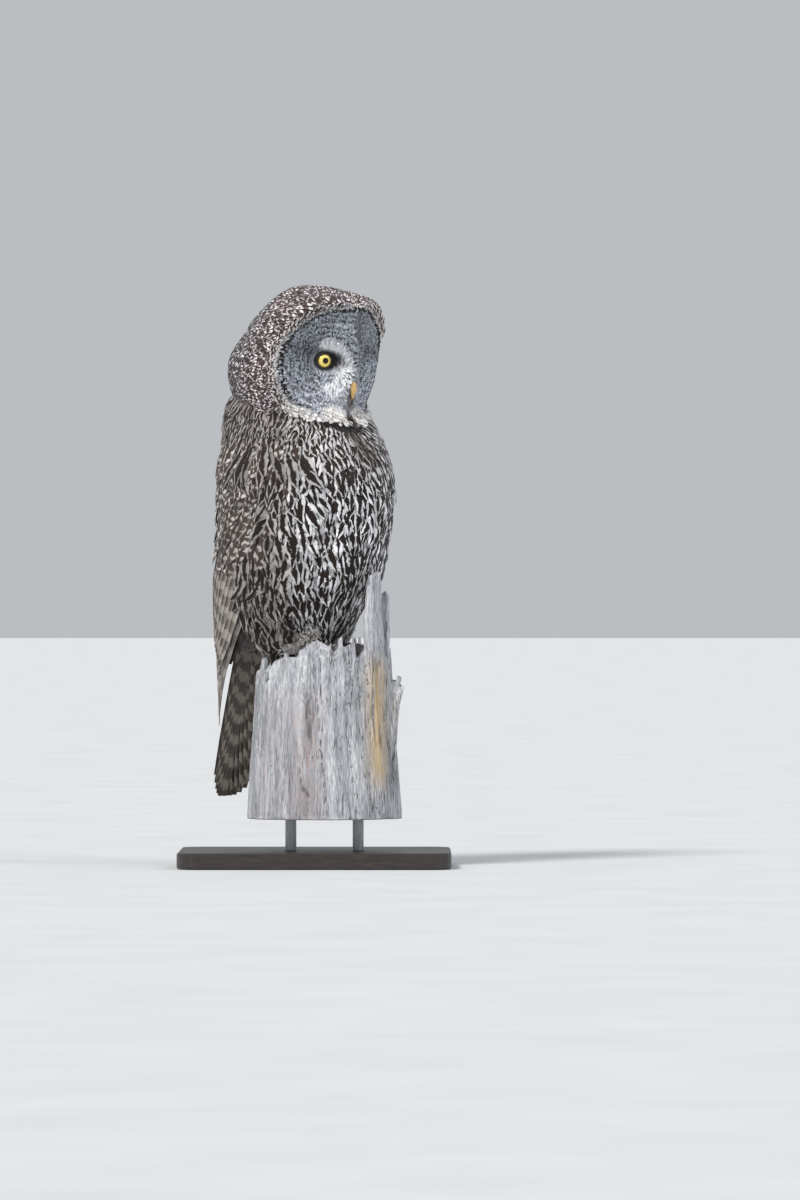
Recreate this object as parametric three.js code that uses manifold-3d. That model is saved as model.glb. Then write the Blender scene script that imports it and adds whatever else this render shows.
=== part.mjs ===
// A great grey owl at life size, perched on the broken top of a weathered snag, on a plain display stand.
// Millimetres, +Z up. The origin is the middle of the stand's underside. The viewer stands at -Y and
// sees +X on the right, so the owl, which looks right and half towards the viewer, faces +X and -Y.
import * as THREE from "three";
import { mergeVertices } from "three/addons/utils/BufferGeometryUtils.js";
import Module from "manifold-3d";

const wasm = await Module();
wasm.setup();

// Driving dimensions
const GAP = 0.3; // left between pieces that touch
const BASE = { length: 340, depth: 280, thick: 20, corner: 26, bevel: 2 };
const ROD = { radius: 7, length: 40, spread: 84 };
const SNAG_BOTTOM = BASE.thick + ROD.length;
const FOOT_LEVEL = 262; // the flat in the snag's broken top that the feet stand on
const SNAG = { x: 12, y: -14, topRadius: 84, bottomRadius: 96, flutes: 11, fluteDepth: 2.6 };
const BODY = { x: -10, y: 0, heading: 35 }; // heading in degrees, from +X towards the viewer
const HEAD = {
  ...{ x: -11, y: -4, z: 618, heading: 43, pitch: 10 },
  ...{ top: 106, under: 88, back: 98, front: 101, half: 91 },
};
const FACE = { middle: 17, height: 69, half: 83, ridge: 87, rimDrop: 56, crownDrop: 12, dish: 17, rim: 4 };
const EYE = { radius: 11.5, forward: 48, side: 24.5, up: 21, splay: 25, lid: 1.9 };
const BILL = { up: 7, forward: 73, width: 12, depth: 13, reach: 12, drop: 31 };
const TAIL = { rootForward: -78, rootUp: 352, tipForward: -127, tipUp: 86, pairs: 6, halfSpread: 42 };
const VANE = { thick: 0.9, rib: 0.7 };
const LEG = { forward: 20, side: 28, top: 330, ankle: 279 };
const CLAW = { radius: 3.1, length: 19 };

const COLOURS = {
  plumage: [0x6f6864, 0.9],
  pale: [0xb9b4ae, 0.9],
  flight: [0x5c534c, 0.85],
  iris: [0xf2c12e, 0.15],
  bill: [0xd9a441, 0.45],
  claw: [0x26221f, 0.35],
  wood: [0xb7b4b3, 0.9],
  stand: [0x2c2a29, 0.5],
  steel: [0x8f9193, 0.35],
};

// Frames: each gives the world point of sizes measured forward, to the owl's left, and up
const UP = new THREE.Vector3(0, 0, 1);

function frameOf(origin, headingDegrees, pitchDegrees = 0) {
  const heading = THREE.MathUtils.degToRad(headingDegrees);
  const pitch = THREE.MathUtils.degToRad(pitchDegrees);
  const level = new THREE.Vector3(Math.cos(heading), -Math.sin(heading), 0);
  const left = new THREE.Vector3().crossVectors(UP, level);
  const forward = level.clone().multiplyScalar(Math.cos(pitch)).addScaledVector(UP, -Math.sin(pitch));
  const up = new THREE.Vector3().crossVectors(forward, left);
  const turn = (f, l, u) =>
    new THREE.Vector3().addScaledVector(forward, f).addScaledVector(left, l).addScaledVector(up, u);
  return { turn, at: (f, l, u) => turn(f, l, u).add(origin) };
}

const body = frameOf(new THREE.Vector3(BODY.x, BODY.y, 0), BODY.heading);
const head = frameOf(new THREE.Vector3(HEAD.x, HEAD.y, HEAD.z), HEAD.heading, HEAD.pitch);

// Repeatable variation, so that no two feathers or splinters are quite alike
function seeded(seed) {
  let state = seed;
  return () => {
    state = (state * 1664525 + 1013904223) % 4294967296;
    return state / 4294967296;
  };
}

// Small numbers
const lerp = THREE.MathUtils.lerp;
const smooth = (x, low, high) => THREE.MathUtils.smoothstep(x, low, high);
const bump = (x, width) => Math.exp(-((x / width) ** 2));
const signedPower = (x, power) => Math.sign(x) * Math.abs(x) ** power;

// Solids
function solidOf(geometry) {
  const bare = geometry.clone();
  bare.deleteAttribute("normal");
  bare.deleteAttribute("uv");
  const merged = mergeVertices(bare, 1e-4);
  const mesh = new wasm.Mesh({
    numProp: 3,
    vertProperties: new Float32Array(merged.attributes.position.array),
    triVerts: new Uint32Array(merged.index.array),
  });
  return new wasm.Manifold(mesh);
}

// A closed surface through rings of points, each end closed by a fan on its middle. A slab's far face, the
// second half of each ring, is split along the same diagonals as its near face, so that the two never cross.
function loft(rings, slab = false) {
  const count = rings[0].length;
  const points = rings.flat();
  const faces = [];
  for (let r = 0; r + 1 < rings.length; r++)
    for (let i = 0; i < count; i++) {
      const a = r * count + i;
      const b = r * count + ((i + 1) % count);
      if (slab && i >= count / 2) faces.push(a, b, b + count, a, b + count, a + count);
      else faces.push(a, b, a + count, b, b + count, a + count);
    }
  const middle = (ring) => ring.reduce((sum, p) => sum.add(p), new THREE.Vector3()).divideScalar(count);
  const last = (rings.length - 1) * count;
  points.push(middle(rings[0]), middle(rings.at(-1)));
  for (let i = 0; i < count; i++) {
    const next = (i + 1) % count;
    faces.push(next, i, points.length - 2, last + i, last + next, points.length - 1);
  }
  return closed(points, faces);
}

// A closed slab between an outer and an inner grid of points, joined along their four edges
function shell(outer, inner) {
  const [lastRow, lastColumn] = [outer.length - 1, outer[0].length - 1];
  const size = (lastRow + 1) * (lastColumn + 1);
  const out = (r, i) => r * (lastColumn + 1) + i;
  const back = (r, i) => size + out(r, i);
  const faces = [];
  const quad = (a, b, c, d) => faces.push(a, b, c, a, c, d);
  for (let r = 0; r < lastRow; r++) {
    for (let i = 0; i < lastColumn; i++) {
      quad(out(r, i), out(r, i + 1), out(r + 1, i + 1), out(r + 1, i));
      quad(back(r, i), back(r + 1, i), back(r + 1, i + 1), back(r, i + 1));
    }
    quad(out(r, 0), out(r + 1, 0), back(r + 1, 0), back(r, 0));
    quad(out(r, lastColumn), back(r, lastColumn), back(r + 1, lastColumn), out(r + 1, lastColumn));
  }
  for (let i = 0; i < lastColumn; i++) {
    quad(out(0, i), back(0, i), back(0, i + 1), out(0, i + 1));
    quad(out(lastRow, i), out(lastRow, i + 1), back(lastRow, i + 1), back(lastRow, i));
  }
  return closed([...outer.flat(), ...inner.flat()], faces);
}

// The solid of a list of points and faces, turned to face out
function closed(points, faces) {
  const geometry = new THREE.BufferGeometry().setFromPoints(points);
  const volume = faces.reduce((sum, _, i) => {
    if (i % 3) return sum;
    const [a, b, c] = [points[faces[i]], points[faces[i + 1]], points[faces[i + 2]]];
    return sum + a.dot(new THREE.Vector3().crossVectors(b, c));
  }, 0);
  if (volume < 0)
    for (let i = 0; i < faces.length; i += 3) [faces[i], faces[i + 1]] = [faces[i + 1], faces[i]];
  return solidOf(geometry.setIndex(faces));
}

const fused = (solids) => wasm.Manifold.union(solids);

// The largest closed surface of a solid, which drops loose scraps and fills sealed hollows
function largest(solid) {
  return solid.decompose().reduce((best, piece) => (piece.volume() > best.volume() ? piece : best));
}

function box(low, high) {
  const size = new THREE.Vector3().subVectors(high, low);
  const middle = new THREE.Vector3().addVectors(low, high).multiplyScalar(0.5);
  return solidOf(new THREE.BoxGeometry(...size.toArray()).translate(...middle.toArray()));
}

function mesh(name, solid, colour) {
  const made = largest(solid).getMesh();
  const geometry = new THREE.BufferGeometry()
    .setAttribute("position", new THREE.BufferAttribute(new Float32Array(made.vertProperties), 3))
    .setIndex(new THREE.BufferAttribute(new Uint32Array(made.triVerts), 1));
  const [hex, roughness] = COLOURS[colour];
  const metalness = colour === "steel" ? 1 : 0;
  const material = new THREE.MeshStandardMaterial({ color: hex, roughness, metalness });
  const result = new THREE.Mesh(geometry, material);
  result.name = name;
  return result;
}

// Body hulls: rows of height, middle, reach to the front and back of it, and half width, in the body frame
const TORSO = [
  [640, -14, 50, 56, 52],
  [600, -14, 72, 76, 72],
  [572, -14, 85, 90, 84],
  [545, -12, 98, 95, 89],
  [515, -8, 111, 98, 92],
  [475, -3, 118, 99, 93],
  [435, 0, 117, 99, 93],
  [395, -3, 113, 98, 91],
  [360, -9, 104, 92, 85],
  [330, -14, 93, 80, 77],
  [308, -14, 82, 66, 68],
  [292, -8, 67, 48, 56],
  [283, 0, 50, 32, 42],
];
const WING_HULL = [
  [540, -12, 90, 97, 92],
  [515, -8, 100, 100, 96],
  [475, -3, 100, 103, 99],
  [435, 0, 100, 106, 100],
  [395, -2, 100, 108, 99],
  [360, -8, 95, 107, 95],
  [330, -18, 85, 100, 87],
  [300, -32, 75, 88, 76],
  [260, -52, 60, 72, 62],
  [220, -70, 50, 54, 52],
  [180, -84, 40, 41, 43],
  [140, -94, 30, 33, 36],
];
const HULL_POWER = 2.15;
const HULL_SIDES = 32;

// A hull's row at a height, on a smooth curve through its rows, which run from the top down
function rowAt(hull, z) {
  const last = hull.length - 1;
  let i = 0;
  while (i < last - 1 && z < hull[i + 1][0]) i++;
  const t = THREE.MathUtils.clamp((z - hull[i][0]) / (hull[i + 1][0] - hull[i][0]), 0, 1);
  const [from, to] = [hull[i], hull[i + 1]];
  const [before, after] = [hull[Math.max(0, i - 1)], hull[Math.min(last, i + 2)]];
  return from.map((value, k) => {
    const pull = (to[k] - before[k]) / 2;
    const push = (after[k] - from[k]) / 2;
    const square = t * t;
    const cube = square * t;
    return (
      value * (2 * cube - 3 * square + 1) +
      pull * (cube - 2 * square + t) +
      to[k] * (3 * square - 2 * cube) +
      push * (cube - square)
    );
  });
}

// The hull's point at an angle from the front, in degrees to the owl's left, and its outward direction
function onHull(hull, angle, z, offset = 0) {
  const [, middle, front, back, half] = rowAt(hull, z);
  const turn = THREE.MathUtils.degToRad(angle);
  const reach = Math.cos(turn) > 0 ? front : back;
  const forward = reach * signedPower(Math.cos(turn), 2 / HULL_POWER);
  const left = half * signedPower(Math.sin(turn), 2 / HULL_POWER);
  const out = body.turn(Math.cos(turn) / reach, Math.sin(turn) / half, 0).normalize();
  return { out, point: body.at(middle + forward, left, z).addScaledVector(out, offset) };
}

function hullSolid(hull, heights, sides, grow) {
  const ring = (z) =>
    Array.from({ length: sides }, (_, i) => onHull(hull, (i * 360) / sides, z, grow).point);
  return loft(heights.map(ring));
}

// A feather vane: a thin ribbon, with a raised rib if one is asked for, along stations of middle, side
// direction, outward direction and half width
function vane(stations, thick, rib, grow = 0) {
  const half = thick / 2 + grow;
  const rings = stations.map(({ middle, side, out, width }) => {
    const across = width + grow;
    const place = (s, o) => middle.clone().addScaledVector(side, s).addScaledVector(out, o);
    const edges = [place(-across, half), place(across, half), place(across, -half), place(-across, -half)];
    if (!rib) return edges;
    return [edges[0], place(0, half + rib), edges[1], edges[2], place(0, rib - half), edges[3]];
  });
  return loft(rings, true);
}

// Half width along a vane, as a share of its widest
const VANE_SHAPES = {
  pointed: [0.45, 0.85, 1, 0.94, 0.66, 0.16],
  rounded: [0.5, 0.86, 1, 1, 0.8, 0.34],
};

// A vane that lies on a hull, from a root sunk in the core to a tip, both given as angle, height and offset
function vaneOnHull(hull, root, tip, width, { shape, steps, tilt }) {
  const where = (t) => {
    const angle = lerp(root.angle, tip.angle, t);
    const rise = smooth(t, 0, 0.6) * 0.75 + t * 0.25;
    return onHull(hull, angle, lerp(root.z, tip.z, t), lerp(root.offset, tip.offset, rise));
  };
  const profile = VANE_SHAPES[shape];
  const stations = Array.from({ length: steps + 1 }, (_, i) => {
    const t = i / steps;
    const { point, out } = where(t);
    const along = new THREE.Vector3().subVectors(where(t + 0.02).point, where(t - 0.02).point).normalize();
    const side = new THREE.Vector3().crossVectors(along, out).normalize();
    const facing = new THREE.Vector3().crossVectors(side, along).normalize();
    const roll = new THREE.Quaternion().setFromAxisAngle(along, THREE.MathUtils.degToRad(tilt));
    const spot = t * (profile.length - 1);
    const low = Math.min(profile.length - 2, Math.floor(spot));
    return {
      middle: point,
      side: side.applyQuaternion(roll),
      out: facing.applyQuaternion(roll),
      width: width * lerp(profile[low], profile[low + 1], spot - low),
    };
  });
  return vane(stations, VANE.thick, 0);
}

// The head is a round dome whose front is two dished discs that meet at a ridge between the eyes. The rings
// of its surface are, up to 1, shares of the way from the front to the discs' rim, and then on to the back.
const DISC_RINGS = [0.1, 0.2, 0.3, 0.4, 0.5, 0.6, 0.7, 0.79, 0.87];
const DOME_RINGS = [0.94, 1, 1.06, 1.13, 1.22, 1.32, 1.44, 1.57, 1.72, 1.87];
const HEAD_SIDES = 36;

function faceForward(left, up) {
  const side = Math.abs(left);
  const rise = (up - FACE.middle) / FACE.height;
  const slant = (Math.sqrt(side * side + 49) - 7) / FACE.half;
  const round = Math.hypot(side / FACE.half, rise);
  const bowl = FACE.dish * bump(side - 33, 24) * bump(up - FACE.middle - 2, 44);
  const brow = 3 * bump(side - 17, 9) * bump(up - 44, 16);
  const rim = FACE.rim * bump(round - 0.98, 0.09);
  const crown = 18 * smooth(round, 0.94, 1.28) * smooth(up, 20, 60);
  const open = FACE.ridge - FACE.rimDrop * slant - FACE.crownDrop * rise * rise - bowl + brow + rim + crown;
  const socket = EYE.forward + 5.5 - 0.47 * (side - EYE.side - 2.5);
  const near = Math.hypot(side - EYE.side - 2.5, up - EYE.up);
  return lerp(open, socket, smooth(-near, -18, -9));
}

// Distance from the head's middle to its surface in a direction of forward, left and up
function headReach(f, l, u) {
  const power = lerp(2.05, 2.75 + 0.6 * smooth(u, 0.1, 0.6), smooth(f, -0.4, 0.6));
  const depth = f > 0 ? HEAD.front : HEAD.back;
  const height = u > 0 ? HEAD.top : HEAD.under;
  const shares = [f / depth, l / HEAD.half, u / height];
  const dome = shares.reduce((sum, share) => sum + Math.abs(share) ** power, 0) ** (-1 / power);
  const backSlope = 1 - 0.1 * smooth(-f, 0, 0.6) * smooth(u, -0.05, 0.45);
  const skull = dome * backSlope;
  if (f < 0.12) return skull;
  let [face, beyond] = [0, 160];
  for (let i = 0; i < 22; i++) {
    const middle = (face + beyond) / 2;
    if (f * middle < faceForward(middle * l, middle * u)) face = middle;
    else beyond = middle;
  }
  const blend = 5;
  const gap = THREE.MathUtils.clamp(0.5 + (skull - face) / (2 * blend), 0, 1);
  return lerp(skull, face, gap) - blend * gap * (1 - gap);
}

// How far the discs' rim opens from straight ahead, at an angle round from the owl's left
function rimOpening(round) {
  const [across, rise] = [Math.cos(round) / FACE.half, Math.sin(round) / FACE.height];
  const lift = FACE.middle / FACE.height;
  const square = across * across + rise * rise;
  const reach = (rise * lift + Math.sqrt((rise * lift) ** 2 - square * (lift * lift - 1))) / square;
  return Math.atan2(reach, faceForward(Math.cos(round) * reach, Math.sin(round) * reach));
}

function headSolid(growAt, rings = [...DISC_RINGS, ...DOME_RINGS]) {
  const spot = (share, round) => {
    const rim = rimOpening(round);
    const open = share > 1 ? lerp(rim, Math.PI, share - 1) : rim * share;
    const [f, l, u] = [Math.cos(open), Math.sin(open) * Math.cos(round), Math.sin(open) * Math.sin(round)];
    const reach = headReach(f, l, u) + growAt(f);
    return head.at(f * reach, l * reach, u * reach);
  };
  const turns = Array.from({ length: HEAD_SIDES }, (_, i) => (i * Math.PI * 2) / HEAD_SIDES);
  return loft(rings.map((share) => turns.map((round) => spot(share, round))));
}

// The room the head and its ruff take up, in a plain shape that the neck is cut by
const headRoom = () => headSolid((f) => 0.5 + 8.5 * smooth(f, -0.35, -0.05), [0.6, 0.79, ...DOME_RINGS]);

// The ruff: short stiff feathers that stand round the edge of the discs, bent back over the cheeks
const RUFF = { count: 28, width: 11, length: 17, rimForward: 36 };

function ruff() {
  const random = seeded(7);
  const centre = head.at(0, 0, 0);
  return Array.from({ length: RUFF.count }, (_, i) => {
    const round = ((i + 0.5) / RUFF.count) * Math.PI * 2;
    const high = Math.max(0, Math.sin(round));
    const width = RUFF.width * (0.92 + 0.16 * random());
    const length = RUFF.length * (0.9 + 0.2 * random()) * (1 - 0.35 * high);
    const step = i % 2 ? 1.5 : 0;
    const spot = (reach, lift) => {
      const side = Math.cos(round) * (FACE.half + reach);
      const up = FACE.middle + Math.sin(round) * (FACE.height + reach);
      const forward = RUFF.rimForward - reach * 1.4;
      const size = Math.hypot(forward, side, up);
      const far = headReach(forward / size, side / size, up / size) + lift;
      return head.at((forward * far) / size, (side * far) / size, (up * far) / size);
    };
    const points = [spot(0, -2.5), spot(length * 0.45, 2 + step), spot(length, 1.9 + step)];
    const stations = points.map((middle, k) => {
      const [last, next] = [points[Math.max(0, k - 1)], points[Math.min(2, k + 1)]];
      const along = new THREE.Vector3().subVectors(next, last).normalize();
      const away = new THREE.Vector3().subVectors(middle, centre).normalize();
      const side = new THREE.Vector3().crossVectors(along, away).normalize();
      const out = new THREE.Vector3().crossVectors(side, along).normalize();
      return { middle, side, out, width: width * [0.7, 1, 0.4][k] };
    });
    return vane(stations, 0.9, 0);
  });
}

// Eyes look forward and outward; each is a ball that shows between raised lids
function eyeFrame(side) {
  const centre = head.at(EYE.forward, side * EYE.side, EYE.up);
  return frameOf(centre, HEAD.heading - side * EYE.splay, HEAD.pitch * 0.4);
}

function eyeSolid(side, grow) {
  const centre = head.at(EYE.forward, side * EYE.side, EYE.up);
  const globe = new THREE.SphereGeometry(EYE.radius + grow, 14, 9).rotateX(Math.PI / 2);
  return solidOf(globe.translate(...centre.toArray()));
}

function lids(side) {
  const eye = eyeFrame(side);
  const opening = EYE.radius * 0.84;
  const forward = EYE.radius * 0.56;
  const rings = Array.from({ length: 20 }, (_, i) => {
    const round = (i / 20) * Math.PI * 2;
    const upper = Math.max(0, Math.sin(round));
    const tall = opening - 0.7 * upper;
    const middle = [forward + 0.9 * upper, Math.cos(round) * opening, Math.sin(round) * tall];
    return Array.from({ length: 6 }, (_, k) => {
      const around = (k / 6) * Math.PI * 2;
      const thick = EYE.lid * (1 + 0.35 * upper);
      const out = 1 + (Math.cos(around) * thick) / opening;
      return eye.at(middle[0] + Math.sin(around) * thick, middle[1] * out, middle[2] * out);
    });
  });
  const points = rings.flat();
  const faces = [];
  for (let i = 0; i < 20; i++)
    for (let k = 0; k < 6; k++) {
      const [a, b] = [i * 6 + k, i * 6 + ((k + 1) % 6)];
      const [c, d] = [((i + 1) % 20) * 6 + k, ((i + 1) % 20) * 6 + ((k + 1) % 6)];
      faces.push(a, b, c, b, d, c);
    }
  return closed(points, faces);
}

// The bill: a short hook whose two halves meet along the line of the mouth
function billHalf(upper, grow) {
  const steps = 7;
  const rings = Array.from({ length: steps + 1 }, (_, i) => {
    const t = i / steps;
    const bend = t * Math.PI * 0.5;
    const fallen = BILL.drop * (upper ? 1 : 0.74);
    const forward = BILL.forward + BILL.reach * Math.sin(bend * 1.35) - (upper ? 0 : 3 + 4 * t);
    const up = BILL.up - fallen * t - (upper ? 0 : 7 * (1 - t));
    const size = (upper ? 1 : 0.72) * (1 - t ** 1.6) + 0.08;
    return Array.from({ length: 12 }, (_, k) => {
      const around = (k / 12) * Math.PI * 2;
      const side = Math.sin(around) * (BILL.width / 2) * size + Math.sign(Math.sin(around)) * grow;
      const proud = Math.cos(around) * (BILL.depth / 2) * size + Math.sign(Math.cos(around)) * grow;
      const rise = proud * Math.sin(bend * 0.5) * 0.6;
      return head.at(forward + proud * Math.cos(bend * 0.5), side, up + rise);
    });
  });
  return loft(rings);
}

function nostril(side) {
  const centre = head.at(BILL.forward + 14.5, side * 4.6, BILL.up - 4);
  return solidOf(new THREE.SphereGeometry(1.7, 8, 6).scale(1, 1, 1.4).translate(...centre.toArray()));
}

// Tail: twelve long vanes under a few coverts, rooted in a core under the rump
const tailLine = (t) => ({
  forward: lerp(TAIL.rootForward, TAIL.tipForward, t),
  up: lerp(TAIL.rootUp, TAIL.tipUp, t),
});

function tailVane(root, tip, left, width, depth, roll, rib, grow) {
  const steps = 3;
  const lean = Math.atan2(TAIL.rootForward - TAIL.tipForward, TAIL.rootUp - TAIL.tipUp);
  const outward = body.turn(-Math.cos(lean), 0, Math.sin(lean));
  const along = body.turn(-Math.sin(lean), 0, -Math.cos(lean));
  const sideways = body.turn(0, 1, 0);
  const turn = new THREE.Quaternion().setFromAxisAngle(along, THREE.MathUtils.degToRad(roll));
  const profile = VANE_SHAPES.rounded;
  const stations = Array.from({ length: steps + 1 }, (_, i) => {
    const t = lerp(root, tip, i / steps);
    const share = i / steps;
    const line = tailLine(t);
    const spread = lerp(left[0], left[1], share);
    const spot = share * (profile.length - 1);
    const low = Math.min(profile.length - 2, Math.floor(spot));
    const proud = lerp(depth[0], depth[1], share);
    return {
      middle: body.at(line.forward, spread, line.up).addScaledVector(outward, proud),
      side: sideways.clone().applyQuaternion(turn),
      out: outward.clone().applyQuaternion(turn),
      width: width * lerp(profile[low], profile[low + 1], spot - low),
    };
  });
  return vane(stations, 1, rib, grow);
}

function tail(grow) {
  const pieces = [];
  for (const side of [-1, 1])
    for (let j = 0; j < TAIL.pairs; j++) {
      const share = j / (TAIL.pairs - 1);
      const left = [side * (3 + 3.4 * j), side * lerp(7, TAIL.halfSpread, share)];
      const depth = [-0.4 * j + (side > 0 ? 0.5 : 0), -1.9 * j + (side > 0 ? 1.1 : 0)];
      const rib = j ? 0 : VANE.rib;
      pieces.push(tailVane(0.1, 1 - 0.11 * share ** 2, left, 16.5, depth, side * 3.5 * j, rib, grow));
    }
  const random = seeded(31);
  for (let row = 0; row < 2; row++)
    for (let i = 0; i < 3 - row; i++) {
      const place = (i - (2 - row) / 2) * 19;
      const reach = 0.36 + 0.13 * row + 0.03 * random();
      const tip = 0.56 - reach * 0.45 + 0.1 * row;
      pieces.push(tailVane(0.06, tip, [place * 0.7, place], 15, [3, 9 - 4 * row], 0, 0, grow));
    }
  const core = Array.from({ length: 5 }, (_, i) => {
    const t = i / 4;
    const line = tailLine(t * 0.34 - 0.02);
    return Array.from({ length: 12 }, (_, k) => {
      const around = (k / 12) * Math.PI * 2;
      const thick = lerp(15, 2.2, t) + grow;
      const wide = lerp(36, 24, t) + grow;
      return body.at(line.forward + Math.cos(around) * thick, Math.sin(around) * wide, line.up);
    });
  });
  pieces.push(loft(core));
  return pieces;
}

// Wings: a pad that hugs the body, with tiers of vanes rooted in it. side is 1 for the owl's left.
const PAD = { front: 58, rear: 168, top: 512, foot: 338, across: 7, rows: 5, proud: 2.5, sunk: 16 };

function wingPad(side) {
  const point = (u, v, sunk) => {
    const z = lerp(PAD.top, PAD.foot, v) - 22 * bump(u - 0.62, 0.4) * v;
    const front = PAD.front + 26 * smooth(v, 0.45, 1);
    const edge = Math.min(smooth(u, -0.01, 0.16), smooth(1.01 - u, 0, 0.12), smooth(v, -0.01, 0.16));
    const offset = sunk ? -PAD.sunk : lerp(-7, PAD.proud, edge);
    return onHull(WING_HULL, side * lerp(front, PAD.rear, u), z, offset).point;
  };
  const grid = (sunk) =>
    Array.from({ length: PAD.rows + 1 }, (_, r) =>
      Array.from({ length: PAD.across + 1 }, (_, i) => point(i / PAD.across, r / PAD.rows, sunk)),
    );
  return shell(grid(false), grid(true));
}

// Each tier: how many vanes, their half width, and the root and tip of its first (front) and last (rear) vane
const TIERS = {
  primaries: {
    ...{ count: 5, width: 12, shape: "pointed", tilt: 5, droop: [0, -24, -20, -8, 0] },
    root: [{ angle: 86, z: 398, offset: -4 }, { angle: 104, z: 402, offset: -2.5 }],
    tip: [{ angle: 140, z: 176, offset: -1 }, { angle: 147, z: 262, offset: 1.5 }],
  },
  secondaries: {
    ...{ count: 6, width: 17 },
    root: [{ angle: 90, z: 424, offset: -3 }, { angle: 150, z: 430, offset: -1 }],
    tip: [{ angle: 126, z: 252, offset: 3.5 }, { angle: 170, z: 330, offset: 6 }],
  },
  greaterCoverts: {
    ...{ count: 5, width: 15.5 },
    root: [{ angle: 80, z: 446, offset: -2 }, { angle: 150, z: 468, offset: -2 }],
    tip: [{ angle: 97, z: 366, offset: 6 }, { angle: 160, z: 396, offset: 8.5 }],
  },
  medianCoverts: {
    ...{ count: 5, width: 14.5 },
    root: [{ angle: 72, z: 478, offset: -2 }, { angle: 142, z: 494, offset: -2 }],
    tip: [{ angle: 84, z: 420, offset: 6.5 }, { angle: 150, z: 444, offset: 8.5 }],
  },
  lesserCoverts: {
    ...{ count: 4, width: 11.5 },
    root: [{ angle: 68, z: 500, offset: -3 }, { angle: 122, z: 507, offset: -3 }],
    tip: [{ angle: 74, z: 458, offset: 6 }, { angle: 128, z: 470, offset: 8 }],
  },
  scapulars: {
    ...{ count: 4, width: 14 },
    root: [{ angle: 120, z: 504, offset: -3 }, { angle: 164, z: 502, offset: -3 }],
    tip: [{ angle: 132, z: 418, offset: 9.5 }, { angle: 169, z: 402, offset: 10 }],
  },
};

function wing(side) {
  const random = seeded(side > 0 ? 307 : 57);
  const pieces = [wingPad(side)];
  for (const tier of Object.values(TIERS))
    for (let i = 0; i < tier.count; i++) {
      const { shape = "rounded", tilt = 6, droop = [] } = tier;
      const t = i / (tier.count - 1);
      const mix = (ends, key) => lerp(ends[0][key], ends[1][key], t);
      const end = (ends, lower) => ({
        angle: side * (mix(ends, "angle") + 1.2 * (random() - 0.5)),
        z: mix(ends, "z") + 4 * (random() - 0.5) + lower,
        offset: mix(ends, "offset"),
      });
      const root = end(tier.root, 0);
      const tip = end(tier.tip, droop[i] ?? 0);
      const width = tier.width * (0.95 + 0.1 * random());
      pieces.push(vaneOnHull(WING_HULL, root, tip, width, { shape, steps: 3, tilt: side * tilt }));
    }
  return fused(pieces);
}

// Legs and feet
function legSolid(side, grow) {
  const rings = [[LEG.top, 33], [312, 31], [296, 24], [LEG.ankle, 17], [272, 15.5]].map(([z, radius]) =>
    Array.from({ length: 14 }, (_, i) => {
      const around = (i / 14) * Math.PI * 2;
      const size = radius + grow;
      const forward = LEG.forward - 4 * smooth(z, 280, 330) + Math.cos(around) * size;
      return body.at(forward, side * LEG.side + Math.sin(around) * size * 0.86, z);
    }),
  );
  return loft(rings);
}

// Toes: two forward and two back and out, as owls perch. Each is its direction in degrees, and its length.
const TOES = [[14, 40], [-24, 36], [122, 27], [176, 26]];

function toePath(side, [direction, length]) {
  const turn = THREE.MathUtils.degToRad(direction) * side;
  return (reach, up) =>
    body.at(LEG.forward + Math.cos(turn) * reach, side * LEG.side + Math.sin(turn) * reach, up).setZ(up);
}

function ball(centre, radii) {
  return solidOf(new THREE.SphereGeometry(1, 10, 6).scale(...radii).translate(...centre.toArray()));
}

function toe(side, spec, grow) {
  const at = toePath(side, spec);
  const length = spec[1];
  const rows = [[0, 271, 9.5], [length * 0.4, 271.5, 8.6], [length * 0.75, 270, 7.6], [length, 268.5, 6.2]];
  const rings = rows.map(([reach, up, radius]) => {
    const aside = new THREE.Vector3().subVectors(at(1, 0), at(0, 0)).normalize().cross(UP);
    return Array.from({ length: 6 }, (_, i) => {
      const around = (i / 6) * Math.PI * 2;
      const size = radius + grow;
      return at(reach, up)
        .addScaledVector(aside, Math.cos(around) * size)
        .addScaledVector(UP, Math.sin(around) * size);
    });
  });
  return loft(rings);
}

function footSolid(side, grow) {
  const sole = body.at(LEG.forward, side * LEG.side, FOOT_LEVEL + 10);
  const palm = ball(sole, [17 + grow, 16 + grow, 12 + grow]);
  return fused([palm, ...TOES.map((spec) => toe(side, spec, grow))]);
}

function claw(side, spec) {
  const at = toePath(side, spec);
  const start = spec[1] + GAP;
  const aside = new THREE.Vector3().subVectors(at(1, 0), at(0, 0)).normalize().cross(UP);
  const rings = Array.from({ length: 5 }, (_, i) => {
    const t = i / 4;
    const bend = t * 1.35;
    const reach = start + (CLAW.length / 1.35) * Math.sin(bend);
    const up = 269.5 - (CLAW.length / 1.35) * (1 - Math.cos(bend)) * 0.55;
    const radius = CLAW.radius * (1 - t) + 0.35;
    return Array.from({ length: 6 }, (_, k) => {
      const around = (k / 6) * Math.PI * 2;
      const proud = Math.sin(around) * radius;
      return at(reach + proud * Math.sin(bend), up + proud * Math.cos(bend))
        .addScaledVector(aside, Math.cos(around) * radius * 0.8);
    });
  });
  return loft(rings);
}

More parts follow.
